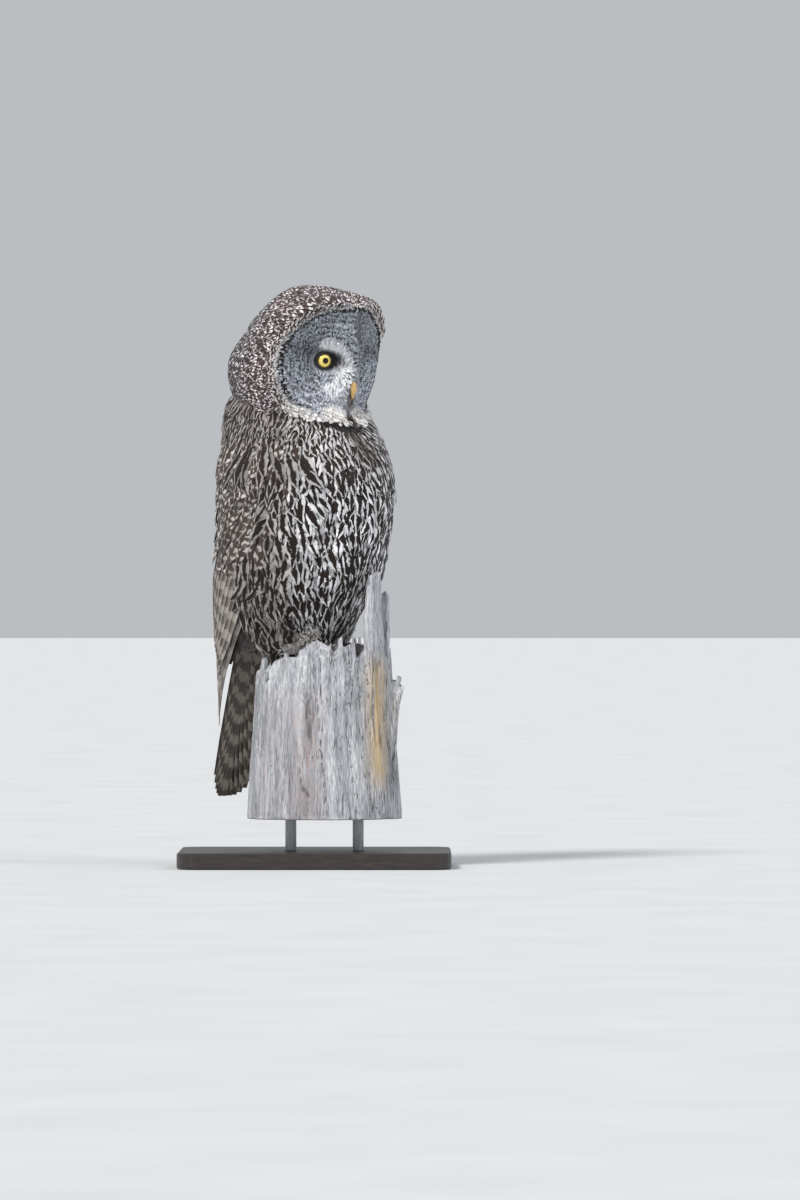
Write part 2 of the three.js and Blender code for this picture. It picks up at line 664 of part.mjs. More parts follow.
// The snag: a fluted trunk with a flat broken top and a rim of upright splinters
function snagRing(z) {
  const t = (z - SNAG_BOTTOM) / (FOOT_LEVEL - SNAG_BOTTOM);
  const radius = lerp(SNAG.bottomRadius, SNAG.topRadius, t);
  return Array.from({ length: 55 }, (_, i) => {
    const around = (i / 55) * Math.PI * 2;
    const flute = Math.abs(Math.sin((around * SNAG.flutes) / 2 + 0.5 * Math.sin(3 * around) + 0.2 * t));
    const lump = 2.5 * Math.sin(2 * around + 0.6) + 1.5 * Math.sin(5 * around + 2 + t);
    const reach = radius + lump - SNAG.fluteDepth * (1 - flute) ** 2 * 2;
    return new THREE.Vector3(SNAG.x + Math.cos(around) * reach, SNAG.y + Math.sin(around) * reach, z);
  });
}

// Splinters: bearing in degrees, half width, foot and top height, how far the top leans in or out, and slant
const SPLINTERS = [
  [-36, 17, 190, 366, 5, 4], [-24, 7, 205, 346, 3, -8], [-9, 13, 150, 236, 15, -3],
  [-15, 9, 128, 222, 19, 5], [-57, 9, 205, 262, -3, 8], [-73, 13, 205, 274, -4, 4],
  [-90, 12, 205, 279, -5, -5], [-107, 13, 205, 276, -5, 6], [-124, 9, 200, 262, -4, -6],
  [-139, 12, 180, 250, -3, -9], [-156, 11, 190, 242, -2, 6], [-174, 10, 190, 252, -4, -7],
  [10, 12, 200, 262, -4, -8], [28, 11, 205, 272, -5, 6], [50, 13, 200, 268, -5, -6],
  [72, 12, 200, 272, -6, 7], [94, 11, 200, 265, -5, -5], [114, 11, 195, 256, -6, 6],
];

function splinter([bearing, half, foot, top, lean, slant]) {
  const turn = THREE.MathUtils.degToRad(bearing);
  const outward = new THREE.Vector3(Math.cos(turn), Math.sin(turn), 0);
  const aside = new THREE.Vector3(-Math.sin(turn), Math.cos(turn), 0);
  const thick = 6.5;
  const rings = [0, 0.55, 1].map((t) => {
    const z = lerp(foot, top, t);
    const share = (z - SNAG_BOTTOM) / (FOOT_LEVEL - SNAG_BOTTOM);
    const radius = lerp(SNAG.bottomRadius, SNAG.topRadius, share) - 5;
    const reach = Math.max(radius, SNAG.topRadius - 9) + lean * t * t;
    const wide = half * lerp(1, 0.72, t ** 3);
    const deep = thick * lerp(1, 0.5, t ** 2);
    const corner = (s, d) =>
      new THREE.Vector3(SNAG.x, SNAG.y, z + (t === 1 ? slant * s : 0))
        .addScaledVector(outward, reach + deep * d)
        .addScaledVector(aside, wide * s);
    return [corner(-1, -1), corner(0, -1.15), corner(1, -1), corner(1, 0.6), corner(0, 1), corner(-1, 0.6)];
  });
  return loft(rings);
}

function snag() {
  const heights = [SNAG_BOTTOM, 100, 150, 200, FOOT_LEVEL];
  return fused([loft(heights.map(snagRing)), ...SPLINTERS.map(splinter)]);
}

// Stand
function base() {
  const [x, y, r] = [BASE.length / 2 - BASE.bevel, BASE.depth / 2 - BASE.bevel, BASE.corner];
  const outline = new THREE.Shape();
  outline.moveTo(-x + r, -y);
  outline.lineTo(x - r, -y);
  outline.absarc(x - r, -y + r, r, -Math.PI / 2, 0);
  outline.lineTo(x, y - r);
  outline.absarc(x - r, y - r, r, 0, Math.PI / 2);
  outline.lineTo(-x + r, y);
  outline.absarc(-x + r, y - r, r, Math.PI / 2, Math.PI);
  outline.lineTo(-x, -y + r);
  outline.absarc(-x + r, -y + r, r, Math.PI, Math.PI * 1.5);
  const edge = { bevelSize: BASE.bevel, bevelThickness: BASE.bevel, bevelSegments: 1 };
  const options = { ...edge, depth: BASE.thick - 2 * BASE.bevel, curveSegments: 4 };
  return solidOf(new THREE.ExtrudeGeometry(outline, options).translate(0, 0, BASE.bevel));
}

function rod(side) {
  const length = ROD.length - 2 * GAP;
  const shaft = new THREE.CylinderGeometry(ROD.radius, ROD.radius, length, 18).rotateX(Math.PI / 2);
  return solidOf(shaft.translate(SNAG.x + (side * ROD.spread) / 2, SNAG.y, BASE.thick + ROD.length / 2));
}

// Cutting each piece by its neighbours, which are grown by the gap
const NECK_CUT = 518;
const TORSO_HEIGHTS = [500, 475, 450, 425, 400, 377, 356, 338, 322, 308, 297, 289, 283];
const NECK_HEIGHTS = [592, 574, 556, 540, 526, 510];
const between = (low, high) => box(new THREE.Vector3(-400, -400, low), new THREE.Vector3(400, 400, high));

const torsoGrown = (grow) => hullSolid(TORSO, [NECK_CUT + grow, ...TORSO_HEIGHTS], HULL_SIDES, grow);
const sides = { right: -1, left: 1 };

const eyesGrown = fused([eyeSolid(-1, GAP), eyeSolid(1, GAP)]);
const billGrown = fused([billHalf(true, GAP), billHalf(false, GAP)]);
const headWhole = fused([headSolid(() => 0), ...ruff(), lids(-1), lids(1)]);
const headPiece = headWhole.subtract(eyesGrown).subtract(billGrown);
const neckPiece = hullSolid(TORSO, NECK_HEIGHTS, HULL_SIDES, 0)
  .subtract(between(400, NECK_CUT + GAP))
  .subtract(headRoom());
const tailPiece = fused(tail(0)).subtract(torsoGrown(GAP));
const tailGrown = fused(tail(GAP));

const owl = new THREE.Group();
owl.add(mesh("head", headPiece, "plumage"));
owl.add(mesh("neck", neckPiece, "plumage"));
owl.add(mesh("torso", torsoGrown(0), "plumage"));
owl.add(mesh("tail", tailPiece, "flight"));
owl.add(mesh("bill_upper", billHalf(true, 0).subtract(nostril(1)).subtract(nostril(-1)), "bill"));
owl.add(mesh("bill_lower", billHalf(false, 0).subtract(billHalf(true, GAP)), "bill"));

for (const [name, side] of Object.entries(sides)) {
  const legCut = legSolid(side, 0).subtract(torsoGrown(GAP)).subtract(tailGrown);
  const foot = footSolid(side, 0).subtract(legSolid(side, GAP)).subtract(between(0, FOOT_LEVEL + GAP));
  const neckAndTorso = fused([torsoGrown(GAP), hullSolid(TORSO, NECK_HEIGHTS, HULL_SIDES, GAP)]);
  const wingCut = wing(side).subtract(neckAndTorso).subtract(tailGrown).subtract(headRoom());
  owl.add(mesh(`eye_${name}`, eyeSolid(side, 0), "iris"));
  owl.add(mesh(`wing_${name}`, wingCut, "flight"));
  owl.add(mesh(`leg_${name}`, legCut, "pale"));
  owl.add(mesh(`foot_${name}`, foot, "pale"));
  TOES.forEach((spec, i) => {
    const cut = claw(side, spec).subtract(footSolid(side, GAP)).subtract(between(0, FOOT_LEVEL + GAP));
    owl.add(mesh(`claw_${name}_${i + 1}`, cut, "claw"));
  });
}

owl.add(mesh("perch_snag", snag(), "wood"));
owl.add(mesh("stand_base", base(), "stand"));
owl.add(mesh("stand_rod_right", rod(-1), "steel"));
owl.add(mesh("stand_rod_left", rod(1), "steel"));

export default owl;
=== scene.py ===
"""A great grey owl at life size on the broken top of a weathered snag, on a plain display stand.

Sizes are in millimetres until a mesh is made, with +Z up and the origin under the middle of the stand.
The camera stands at -Y and sees +X on the right.
"""

import math

import bpy
import numpy as np
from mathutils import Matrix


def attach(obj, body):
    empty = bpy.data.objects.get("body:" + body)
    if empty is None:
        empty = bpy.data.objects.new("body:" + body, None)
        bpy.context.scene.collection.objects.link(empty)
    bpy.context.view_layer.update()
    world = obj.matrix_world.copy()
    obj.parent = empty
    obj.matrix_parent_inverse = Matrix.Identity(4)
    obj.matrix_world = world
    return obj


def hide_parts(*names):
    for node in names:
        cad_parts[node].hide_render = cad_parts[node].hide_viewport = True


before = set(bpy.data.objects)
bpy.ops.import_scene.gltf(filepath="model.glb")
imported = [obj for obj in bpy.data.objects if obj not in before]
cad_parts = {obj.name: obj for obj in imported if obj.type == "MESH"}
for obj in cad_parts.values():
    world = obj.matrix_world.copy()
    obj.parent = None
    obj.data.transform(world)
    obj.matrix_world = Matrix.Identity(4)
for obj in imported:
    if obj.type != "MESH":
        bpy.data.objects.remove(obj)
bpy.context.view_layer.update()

MM = 0.001
# How far the hulls reach, and degrees in a radian, which turn a spacing into an angle round a hull
TORSO_REACH = 98
WING_REACH = 100
DEGREES = 57.3
# Rows of scattered roots are this share of their spacing apart, as in a grid of triangles
ROW_STEP = 0.87
UP = np.array([0, 0, 1.0])
SIDES = ((-1, "right"), (1, "left"))
CAMERA = {"x": 106.25, "away": 10000.0, "z": 332.5, "lens": 240.0}

# Shape of the owl, as in the solids
BODY = {"x": -10, "y": 0, "heading": 35}
HEAD = {
    "x": -11, "y": -4, "z": 618, "heading": 43, "pitch": 10,
    "top": 106, "under": 88, "back": 98, "front": 101, "half": 91,
}
FACE = {
    "middle": 17, "height": 69, "half": 83, "ridge": 87,
    "rim_drop": 56, "crown_drop": 12, "dish": 17, "rim": 4,
}
EYE = {"radius": 11.5, "forward": 48, "side": 24.5, "up": 21, "splay": 25, "lid": 1.9, "iris": 8.6}
BILL = {"up": 7, "forward": 73, "width": 12, "depth": 13, "reach": 12, "drop": 31}
TAIL = {"root_forward": -78, "root_up": 352, "tip_forward": -127, "tip_up": 86, "pairs": 6, "spread": 42}
LEG = {"forward": 20, "side": 28, "flat": 0.86}
CLAW = {"radius": 3.1, "length": 19, "bend": 1.35, "up": 269.5}
FOOT_LEVEL = 262
SNAG = {
    "x": 12, "y": -14, "bottom": 60, "top_radius": 84, "bottom_radius": 96,
    "flutes": 11, "flute_depth": 2.6,
}
HULL_POWER = 2.15

# Heights and radii down a leg
LEG_ROWS = np.array([(330, 33), (312, 31), (296, 24), (279, 17), (270, 15), (265, 12)], float)
# Each toe's bearing out from straight ahead and its length, then heights and radii at shares of the length
TOES = [(14, 40), (-24, 36), (122, 27), (176, 26)]
TOE_SHARES = np.array([0, 0.4, 0.75, 1])
TOE_HEIGHTS = (271, 271.5, 270, 268.5)
TOE_RADII = (9.5, 8.6, 7.6, 6.2)

# Rows of height, middle, reach to the front and back of it, and half width, in the body's frame
TORSO = np.array([
    [640, -14, 50, 56, 52], [600, -14, 72, 76, 72], [572, -14, 85, 90, 84], [545, -12, 98, 95, 89],
    [515, -8, 111, 98, 92], [475, -3, 116, 99, 93], [435, 0, 111, 99, 93], [395, -3, 104, 98, 91],
    [360, -9, 94, 92, 85], [330, -14, 84, 80, 77], [308, -14, 76, 66, 68], [292, -8, 64, 48, 56],
    [283, 0, 50, 32, 42], [272, 6, 42, 24, 34], [262, 10, 34, 16, 26],
], float)
WING_HULL = np.array([
    [540, -12, 90, 97, 92], [515, -8, 100, 100, 96], [475, -3, 100, 103, 99], [435, 0, 100, 106, 100],
    [395, -2, 100, 108, 99], [360, -8, 95, 107, 95], [330, -18, 85, 100, 87], [300, -32, 75, 88, 76],
    [260, -52, 60, 72, 62], [220, -70, 50, 54, 52], [180, -84, 40, 41, 43], [140, -94, 30, 33, 36],
], float)


# Small numbers
def lerp(a, b, t):
    return a + (b - a) * t


def smooth(x, low, high):
    t = np.clip((x - low) / (high - low), 0, 1)
    return t * t * (3 - 2 * t)


def bump(x, width):
    return np.exp(-((x / width) ** 2))


def unit(v):
    return v / np.maximum(np.linalg.norm(v, axis=-1, keepdims=True), 1e-9)


def along(a, b):
    return np.sum(a * b, axis=-1, keepdims=True)


def full_turn(count):
    """Angles once round, in even steps."""
    return np.linspace(0, 2 * math.pi, count, endpoint=False)


def srgb(red, green, blue):
    value = np.array([red, green, blue]) / 255
    return np.where(value <= 0.04045, value / 12.92, ((value + 0.055) / 1.055) ** 2.4)


def value_noise(points, seed):
    """Smooth noise from 0 to 1 at points that are one apart for each new value."""
    low = np.floor(points).astype(np.int64)
    part = points - low
    part = part * part * (3 - 2 * part)
    total = np.zeros(len(points))
    for corner in range(8):
        step = np.array([corner & 1, corner >> 1 & 1, corner >> 2 & 1])
        x, y, z = (low + step).T
        mixed = (x * 374761393 + y * 668265263 + z * 2147483647 + seed * 974634777) & 0xFFFFFFFF
        mixed = ((mixed ^ (mixed >> 13)) * 1274126177) & 0xFFFFFFFF
        value = ((mixed ^ (mixed >> 16)) & 0xFFFF) / 65535
        total += value * np.prod(np.where(step == 1, part, 1 - part), axis=1)
    return total


# Frames of sizes measured forward, to the owl's left, and up
class Frame:
    def __init__(self, origin, heading, pitch=0):
        turn, tip = math.radians(heading), math.radians(pitch)
        level = np.array([math.cos(turn), -math.sin(turn), 0])
        left = np.array([math.sin(turn), math.cos(turn), 0])
        forward = level * math.cos(tip) - np.array([0, 0, math.sin(tip)])
        self.axes = np.array([forward, left, np.cross(forward, left)])
        self.origin = np.array(origin, float)

    def at(self, sizes):
        return np.asarray(sizes, float) @ self.axes + self.origin

    def turn(self, sizes):
        return np.asarray(sizes, float) @ self.axes

    def local(self, points):
        return (points - self.origin) @ self.axes.T

    def parts(self, points):
        """How far forward, left and up points are, each by itself."""
        return np.moveaxis(self.local(points), -1, 0)


body = Frame((BODY["x"], BODY["y"], 0), BODY["heading"])
head = Frame((HEAD["x"], HEAD["y"], HEAD["z"]), HEAD["heading"], HEAD["pitch"])


def columns(*values):
    return np.stack(np.broadcast_arrays(*values), axis=-1)


def sphere(opening, turn):
    """Directions by their opening from straight ahead and their turn round it."""
    return columns(np.cos(opening), np.sin(opening) * np.cos(turn), np.sin(opening) * np.sin(turn))


# The head: a round dome whose front is two dished discs that meet at a ridge between the eyes
def face_forward(left, up):
    side = np.abs(left)
    rise = (up - FACE["middle"]) / FACE["height"]
    slant = (np.sqrt(side * side + 49) - 7) / FACE["half"]
    round_ = np.hypot(side / FACE["half"], rise)
    bowl = FACE["dish"] * bump(side - 33, 24) * bump(up - FACE["middle"] - 2, 44)
    brow = 3 * bump(side - 17, 9) * bump(up - 44, 16)
    rim = FACE["rim"] * bump(round_ - 0.98, 0.09)
    crown = 18 * smooth(round_, 0.94, 1.28) * smooth(up, 20, 60)
    forward = FACE["ridge"] - FACE["rim_drop"] * slant - FACE["crown_drop"] * rise * rise
    forward = forward - bowl + brow + rim + crown
    socket = EYE["forward"] + 5.5 - 0.47 * (side - EYE["side"] - 2.5)
    near = np.hypot(side - EYE["side"] - 2.5, up - EYE["up"])
    return lerp(forward, socket, smooth(-near, -18, -9))


def exact_head_reach(f, l, u):
    power = lerp(2.05, 2.75 + 0.6 * smooth(u, 0.1, 0.6), smooth(f, -0.4, 0.6))
    depth = np.where(f > 0, HEAD["front"], HEAD["back"])
    height = np.where(u > 0, HEAD["top"], HEAD["under"])
    size = np.abs(f / depth) ** power + np.abs(l / HEAD["half"]) ** power + np.abs(u / height) ** power
    skull = size ** (-1 / power) * (1 - 0.1 * smooth(-f, 0, 0.6) * smooth(u, -0.05, 0.45))
    inner = np.zeros_like(f)
    outer = np.full_like(f, 160.0)
    for _ in range(22):
        middle = (inner + outer) / 2
        inside = f * middle < face_forward(middle * l, middle * u)
        inner = np.where(inside, middle, inner)
        outer = np.where(inside, outer, middle)
    blend = 5
    gap = np.clip(0.5 + (skull - inner) / (2 * blend), 0, 1)
    blended = lerp(skull, inner, gap) - blend * gap * (1 - gap)
    return np.where(f < 0.12, skull, blended)


# The head's reach, worked out once for a grid of directions: opening from straight ahead, and turn round
OPEN_STEPS, ROUND_STEPS = 360, 720
_opening, _turn = np.meshgrid(
    np.linspace(0, math.pi, OPEN_STEPS + 1), np.linspace(0, 2 * math.pi, ROUND_STEPS + 1), indexing="ij"
)
REACH = exact_head_reach(*np.moveaxis(sphere(_opening, _turn), -1, 0))


def head_reach(direction):
    f, l, u = np.moveaxis(direction, -1, 0)
    row = np.arccos(np.clip(f, -1, 1)) / math.pi * OPEN_STEPS
    column = (np.arctan2(u, l) % (2 * math.pi)) / (2 * math.pi) * ROUND_STEPS
    r = np.minimum(row.astype(int), OPEN_STEPS - 1)
    c = np.minimum(column.astype(int), ROUND_STEPS - 1)
    a, b = row - r, column - c
    top = lerp(REACH[r, c], REACH[r, c + 1], b)
    bottom = lerp(REACH[r + 1, c], REACH[r + 1, c + 1], b)
    return lerp(top, bottom, a)


def on_head(direction, offset=0.0):
    direction = unit(direction)
    reach = head_reach(direction)[..., None] + offset
    return head.at(direction * reach)


# Distances from surfaces, in millimetres, below zero inside
def head_distance(points):
    local = head.local(points)
    size = np.maximum(np.linalg.norm(local, axis=-1), 1e-6)
    return size - head_reach(local / size[..., None])


def curve_through(hull):
    """The hull's rows at every half millimetre, on a smooth curve through them, from the bottom up."""
    rows = []
    last = len(hull) - 1
    for i in range(last):
        before, start, stop, after = hull[max(0, i - 1)], hull[i], hull[i + 1], hull[min(last, i + 2)]
        count = int((start[0] - stop[0]) * 2)
        t = (np.arange(count) / count)[:, None]
        pull, push = (stop - before) / 2, (after - start) / 2
        row = start * (2 * t**3 - 3 * t**2 + 1) + pull * (t**3 - 2 * t**2 + t)
        row = row + stop * (3 * t**2 - 2 * t**3) + push * (t**3 - t**2)
        row[:, 0] = lerp(start[0], stop[0], t[:, 0])
        rows.append(row)
    return np.vstack([*rows, hull[-1:]])[::-1]


class Hull:
    def __init__(self, rows):
        self.rows = curve_through(rows)

    def row(self, z):
        return [np.interp(z, self.rows[:, 0], self.rows[:, k]) for k in (1, 2, 3, 4)]

    def distance(self, points):
        f, l, z = body.parts(points)
        middle, front, back, half = self.row(z)
        f = f - middle
        reach = np.where(f > 0, front, back)
        share = (np.abs(f / reach) ** HULL_POWER + np.abs(l / half) ** HULL_POWER) ** (1 / HULL_POWER)
        plan = np.hypot(f, l) * (1 - 1 / np.maximum(share, 0.02))
        over = np.maximum(z - self.rows[-1, 0], self.rows[0, 0] - z)
        return np.where(over > 0, np.hypot(np.maximum(plan, 0), over), plan)

    def at(self, angle, z, offset=0.0):
        """Points at angles in degrees from the front to the owl's left."""
        middle, front, back, half = self.row(z)
        turn = np.radians(angle)
        cosine, sine = np.cos(turn), np.sin(turn)
        reach = np.where(cosine > 0, front, back)
        forward = reach * np.sign(cosine) * np.abs(cosine) ** (2 / HULL_POWER)
        left = half * np.sign(sine) * np.abs(sine) ** (2 / HULL_POWER)
        out = unit(body.turn(columns(cosine / reach, sine / half, 0)))
        return body.at(columns(middle + forward, left, z)) + out * np.asarray(offset)[..., None]


torso = Hull(TORSO)
wings = Hull(WING_HULL)


def smooth_union(a, b, blend):
    share = np.clip(0.5 + (b - a) / (2 * blend), 0, 1)
    return lerp(b, a, share) - blend * share * (1 - share)


def chin_room(points):
    """How far the neck draws back below the face, so that the chin stands clear of it."""
    f, l, _ = head.parts(points)
    return 6 * smooth(points[..., 2], 532, 556) * bump(l, 52) * smooth(f, 0, 30)


def front_distance(points):
    return smooth_union(torso.distance(points) + chin_room(points), head_distance(points), 7)


def owl_distance(points):
    return smooth_union(front_distance(points), wings.distance(points), 5)


def settle(points, distance, rounds=1):
    """The points moved onto the surface, and the outward directions there."""
    step = 0.8
    for last in [False] * rounds + [True]:
        slope = columns(*[
            (distance(points + shift) - distance(points - shift)) / (2 * step)
            for shift in np.eye(3) * step
        ])
        if not last:
            points = points - distance(points)[..., None] * slope / np.maximum(along(slope, slope), 0.2)
    return points, unit(slope)


# Meshes from arrays
def mesh_object(name, points, faces, material, body_name="root"):
    mesh = bpy.data.meshes.new(name)
    faces = np.asarray(faces)
    mesh.vertices.add(len(points))
    mesh.vertices.foreach_set("co", (np.asarray(points, np.float32) * MM).ravel())
    mesh.loops.add(faces.size)
    mesh.loops.foreach_set("vertex_index", faces.ravel().astype(np.int32))
    mesh.polygons.add(len(faces))
    mesh.polygons.foreach_set("loop_start", np.arange(0, faces.size, faces.shape[1], dtype=np.int32))
    mesh.polygons.foreach_set("use_smooth", np.ones(len(faces), bool))
    mesh.update(calc_edges=True)
    mesh.materials.append(material)
    made = bpy.data.objects.new(name, mesh)
    bpy.context.scene.collection.objects.link(made)
    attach(made, body_name)
    return made


def colour_attribute(mesh, name, values):
    attribute = mesh.color_attributes.new(name, "FLOAT_COLOR", "POINT")
    attribute.data.foreach_set("color", np.asarray(values, np.float32).ravel())


def number_attribute(mesh, name, values):
    attribute = mesh.attributes.new(name, "FLOAT", "POINT")
    attribute.data.foreach_set("value", np.asarray(values, np.float32).ravel())


def uv_map(mesh, name, by_point):
    corners = np.empty(len(mesh.loops), np.int32)
    mesh.loops.foreach_get("vertex_index", corners)
    layer = mesh.uv_layers.new(name=name)
    layer.uv.foreach_set("vector", np.asarray(by_point, np.float32)[corners].ravel())


def grid_faces(rows, wide, starts=0):
    """Quads of open grids of rows by wide points, each grid's points numbered from one of the starts."""
    row = np.arange(rows - 1)[None, :, None]
    place = np.arange(wide - 1)[None, None, :]
    a = np.reshape(starts, (-1, 1, 1)) + row * wide + place
    return columns(a, a + 1, a + wide + 1, a + wide).reshape(-1, 4)


def loft_faces(rings, count):
    """Quads through rings of count points each."""
    r, i = np.meshgrid(np.arange(rings - 1), np.arange(count), indexing="ij")
    a = r * count + i
    b = r * count + (i + 1) % count
    return columns(a, b, b + count, a + count).reshape(-1, 4)


def loft(rings):
    """Points and quads of a closed surface through rings, with each end drawn in to its middle."""
    rings = np.asarray(rings, float)
    start, stop = (
        np.repeat(end.mean(axis=1, keepdims=True), rings.shape[1], axis=1)
        for end in (rings[:1], rings[-1:])
    )
    rings = np.concatenate([start, rings, stop])
    return rings.reshape(-1, 3), loft_faces(len(rings), rings.shape[1])


def joined(parts):
    """One pair of points and faces from many."""
    points, faces, base = [], [], 0
    for some_points, some_faces in parts:
        points.append(some_points)
        faces.append(some_faces + base)
        base += len(some_points)
    return np.vstack(points), np.vstack(faces)


def read_vectors(items, key):
    values = np.empty(len(items) * 3, np.float32)
    items.foreach_get(key, values)
    return values.reshape(-1, 3).astype(float)


def read_points(mesh):
    return read_vectors(mesh.vertices, "co") / MM


def write_points(mesh, points):
    mesh.vertices.foreach_set("co", (points * MM).astype(np.float32).ravel())
    mesh.update()


def only_material(made, material):
    made.data.materials.clear()
    made.data.materials.append(material)


def remeshed(made, size, material):
    """The object's mesh as one closed surface of small squares, size millimetres across."""
    modifier = made.modifiers.new("Voxels", "REMESH")
    modifier.mode = "VOXEL"
    modifier.voxel_size = size * MM
    modifier.use_smooth_shade = True
    graph = bpy.context.evaluated_depsgraph_get()
    mesh = bpy.data.meshes.new_from_object(made.evaluated_get(graph))
    made.modifiers.clear()
    old = made.data
    mesh.name = old.name
    made.data = mesh
    bpy.data.meshes.remove(old)
    only_material(made, material)


# Materials
class Value:
    """One output of a material's nodes. Arithmetic on it adds the nodes that work it out."""

    def __init__(self, nodes, socket):
        self.nodes = nodes
        self.socket = socket

    def __add__(self, other):
        return self.nodes.math("ADD", self, other)

    def __sub__(self, other):
        return self.nodes.math("SUBTRACT", self, other)

    def __mul__(self, other):
        return self.nodes.math("MULTIPLY", self, other)

    def __truediv__(self, other):
        return self.nodes.math("DIVIDE", self, other)

    def __abs__(self):
        return self.nodes.math("ABSOLUTE", self)


class Nodes:
    """A material's nodes: each call adds a node, and values given as inputs are linked."""

    def __init__(self, name):
        self.material = bpy.data.materials.new(name)
        self.material.use_nodes = True
        self.tree = self.material.node_tree
        self.shader = self.tree.nodes["Principled BSDF"]

    def fill(self, socket, value):
        if isinstance(value, Value):
            self.tree.links.new(value.socket, socket)
        else:
            socket.default_value = value

    def add(self, kind, inputs=(), **settings):
        node = self.tree.nodes.new("ShaderNode" + kind)
        for key, value in settings.items():
            setattr(node, key, value)
        for key, value in dict(inputs).items():
            self.fill(node.inputs[key], value)
        return node

    def value(self, kind, inputs=(), output=0, **settings):
        return Value(self, self.add(kind, inputs, **settings).outputs[output])

    def parts(self, kind, value):
        """The parts of a place or a colour, from a node that separates it."""
        return [Value(self, socket) for socket in self.add(kind, {0: value}).outputs]

    def math(self, operation, a, b=0.0, clamp=False):
        return self.value("Math", {0: a, 1: b}, operation=operation, use_clamp=clamp)

    def between(self, value, low, high, start=0.0, stop=1.0):
        """From start to stop, smoothly, as the value goes from low to high."""
        inputs = {"Value": value, "From Min": low, "From Max": high, "To Min": start, "To Max": stop}
        return self.value("MapRange", inputs, interpolation_type="SMOOTHSTEP")

    def mix(self, factor, a, b, blend="MIX"):
        a, b = (colour if isinstance(colour, Value) else (*colour, 1) for colour in (a, b))
        return self.value("Mix", {0: factor, 6: a, 7: b}, 2, data_type="RGBA", blend_type=blend)

    def attribute(self, name, output="Color"):
        return self.value("Attribute", output=output, attribute_name=name)

    def place(self, scale=(1, 1, 1)):
        """Places on the object in metres, stretched by scale."""
        where = self.value("TexCoord", output="Object")
        return self.value("Mapping", {"Vector": where, "Scale": scale})

    def noise(self, where, scale, detail=3.0, roughness=0.5, distortion=0.0):
        inputs = {
            "Vector": where, "Scale": scale, "Detail": detail,
            "Roughness": roughness, "Distortion": distortion,
        }
        return self.value("TexNoise", inputs, "Fac")

    def ramp(self, value, stops):
        node = self.add("ValToRGB", {0: value})
        elements = node.color_ramp.elements
        while len(elements) < len(stops):
            elements.new(0.5)
        for element, (place, colour) in zip(elements, stops):
            element.position = place
            element.color = (*colour, 1)
        return Value(self, node.outputs[0])

    def bump(self, height, strength, distance):
        return self.value("Bump", {"Height": height, "Strength": strength, "Distance": distance})

    def finish(self, colour, roughness, normal=None, **constants):
        self.fill(self.shader.inputs["Base Color"], colour)
        self.fill(self.shader.inputs["Roughness"], roughness)
        if normal is not None:
            self.fill(self.shader.inputs["Normal"], normal)
        for key, value in constants.items():
            self.shader.inputs[key.replace("_", " ")].default_value = value
        return self.material


def grained(name, stretch, noise, stops, roughness, relief, **constants):
    """A material whose colour and relief both follow one stretched noise."""
    n = Nodes(name)
    grain = n.noise(n.place(stretch), *noise)
    return n.finish(n.ramp(grain, stops), roughness, n.bump(grain, *relief), **constants)


def plumage_material():
    """Feathers: a streak and bars of the mark's colour over the ground's, with fine barbs.

    The pattern attribute holds the streak's strength, the bars' strength, and their number and phase.
    The ground attribute's last value is a feather's own chance, and the mark's is how pale its edge is.
    """
    n = Nodes("plumage")
    across, reach = n.parts("SeparateXYZ", n.value("UVMap", uv_map="Feather"))[:2]
    streak, bars, count = n.parts("SeparateColor", n.attribute("Pattern"))
    phase = n.attribute("Pattern", "Alpha")
    chance = n.attribute("Ground", "Alpha")
    side = abs(across * 2.0 - 1.0)
    where = n.place()
    wander = n.noise(where, 170.0, 2.0)
    fine = n.noise(where, 1500.0, 2.0)

    waviness = (wander - 0.5) * (streak * 1.5 + 0.35)
    turns = reach * (count * MOST_BARS) + phase + waviness + side * 0.22
    wave = n.math("SINE", turns * (2 * math.pi))
    barred = n.between(wave, -0.6, 0.2) * bars

    narrowing = (side + (fine - 0.5) * 0.5 - wave * 0.16) / (streak + 0.2)
    streaked = n.between(narrowing, 0.66, 0.44) * n.between(streak, 0.0, 0.2)
    masked = n.math("MAXIMUM", barred, streaked, clamp=True)
    colour = n.mix(masked, n.attribute("Ground"), n.attribute("Mark"))

    edge = n.between(side, 0.55, 1.0) * n.attribute("Mark", "Alpha")
    colour = n.mix(edge, colour, (0.72, 0.71, 0.69))
    shade = (chance * 0.5 + 0.75) * (fine * 0.7 + 0.65)
    grey = n.value("CombineColor", {0: shade, 1: shade, 2: shade})
    colour = n.mix(1.0, colour, grey, "MULTIPLY")

    barbs = n.math("SINE", (reach * 22.0 + side * -5.0) * (2 * math.pi))
    shaft = n.between(side, 0.09, 0.02) * 2.0
    relief = n.bump(barbs + shaft, 0.22, 0.0003)
    return n.finish(colour, 0.82, relief, Sheen_Weight=0.08, Sheen_Roughness=0.5, Specular_IOR_Level=0.2)


def skin_material():
    n = Nodes("skin")
    where = n.place((1, 1, 0.5))
    mottle = n.noise(where, 420.0, 4.0, 0.65)
    colour = n.mix(n.between(mottle, 0.35, 0.65), n.attribute("Mark"), n.attribute("Ground"))
    relief = n.bump(mottle, 0.5, 0.001)
    return n.finish(colour, 0.9, relief, Sheen_Weight=0.2)


# The number of bars that the pattern attribute holds as 1
MOST_BARS = 20.0
PLUMAGE = plumage_material()
SKIN = skin_material()


